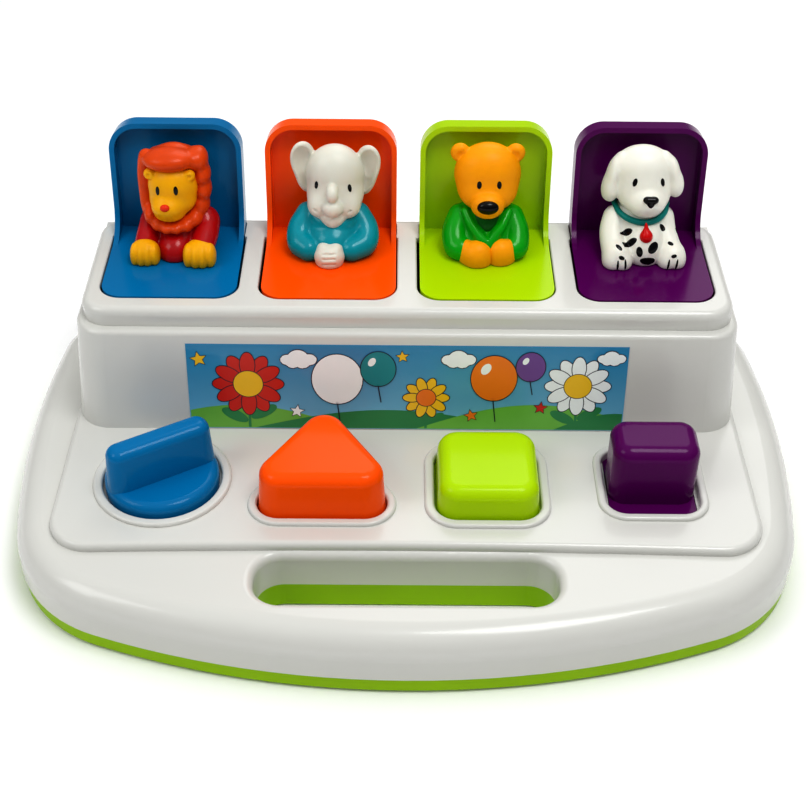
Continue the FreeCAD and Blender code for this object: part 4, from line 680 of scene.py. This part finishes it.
for mat_, polys in ART.items():
    vs, fs = [], []
    for poly in polys:
        b0 = len(vs)
        vs += [tuple(c * MM for c in p) for p in poly]
        fs.append(list(range(b0, b0 + len(poly))))
    me = bpy.data.meshes.new("label_" + mat_)
    me.from_pydata(vs, [], fs)
    me.update()
    if me.polygons[0].normal.y > 0:
        me.flip_normals()
    for p in me.polygons:
        if p.normal.y > 0:
            p.flip()
    me.materials.append(M[mat_])
    o = bpy.data.objects.new("label_" + mat_, me)
    bpy.context.scene.collection.objects.link(o)
    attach(o, "base")

# ------------------------------------------------------------------ floor, light, camera
world = bpy.data.worlds.new("world")
bpy.context.scene.world = world
world.use_nodes = True
wn = world.node_tree
bg = wn.nodes["Background"]
bg.inputs["Strength"].default_value = 1.0
wtc = wn.nodes.new("ShaderNodeTexCoord")
wsep = wn.nodes.new("ShaderNodeSeparateXYZ")
wramp = wn.nodes.new("ShaderNodeValToRGB")
wn.links.new(wtc.outputs["Generated"], wsep.inputs["Vector"])
wn.links.new(wsep.outputs["Z"], wramp.inputs["Fac"])
wn.links.new(wramp.outputs["Color"], bg.inputs["Color"])
el_ = wramp.color_ramp.elements
el_[0].position, el_[0].color = 0.0, (0.22, 0.22, 0.23, 1)
el_[1].position, el_[1].color = 1.0, (1.0, 1.0, 1.0, 1)
for ps, v in ((0.25, 0.26), (0.60, 0.55), (0.85, 0.95)):
    e_ = el_.new(ps)
    e_.color = (v, v, v, 1)

floor_mat = material("floor", (0.95, 0.95, 0.95, 1), rough=0.6, vary=0.0, spec=0.1)
bpy.ops.mesh.primitive_plane_add(size=30, location=(0, 0, 0))
fl = bpy.context.object
fl.name = "floor"
fl.data.materials.append(floor_mat)


def area(name, loc, target, size, power, colour=(1, 1, 1), size_y=None):
    d = bpy.data.lights.new(name, "AREA")
    d.energy = power
    d.color = colour
    d.shape = "RECTANGLE"
    d.size = size
    d.size_y = size_y or size
    o = bpy.data.objects.new(name, d)
    bpy.context.scene.collection.objects.link(o)
    o.location = loc
    o.rotation_mode = "QUATERNION"
    o.rotation_quaternion = (Vector(target) - Vector(loc)).to_track_quat("-Z", "Y")
    return o


area("key", (0.30, -0.25, 1.15), (0, 0.0, 0.05), 0.45, 5.0)
area("fill", (-0.85, -0.35, 0.85), (0, 0, 0.06), 0.5, 2.6)
area("rim", (0.2, 0.9, 0.95), (0, 0, 0.06), 0.7, 3.0)

cam_d = bpy.data.cameras.new("cam")
cam_o = bpy.data.objects.new("cam", cam_d)
bpy.context.scene.collection.objects.link(cam_o)
yaw, pitch, roll_ = 0.0071, 0.6908, 0.0125
fwd = Vector((math.sin(yaw) * math.cos(pitch), math.cos(yaw) * math.cos(pitch), -math.sin(pitch)))
right = Vector((math.cos(yaw), -math.sin(yaw), 0))
up = right.cross(fwd)
r2 = right * math.cos(roll_) + up * math.sin(roll_)
u2 = -right * math.sin(roll_) + up * math.cos(roll_)
R = Matrix((r2, u2, -fwd)).transposed()
cam_o.matrix_world = Matrix.Translation(Vector(CAM) * MM) @ R.to_4x4()
cam_d.sensor_width = 36.0
cam_d.lens = 1453.891 / 809.0 * 36.0
cam_d.clip_start = 0.01
cam_d.clip_end = 20
cam_d.dof.use_dof = False
bpy.context.scene.camera = cam_o

bpy.context.scene.view_settings.view_transform = "Standard"
bpy.context.scene.view_settings.look = "None"
# a steeper print curve: deeper shade in the coloured plastics, whites left where they are
vs_ = bpy.context.scene.view_settings
vs_.use_curve_mapping = True
curve = vs_.curve_mapping.curves[3]
for x_ in (0.03, 0.10, 0.22, 0.40, 0.62, 0.82):
    curve.points.new(x_, x_ ** 1.28)
vs_.curve_mapping.update()
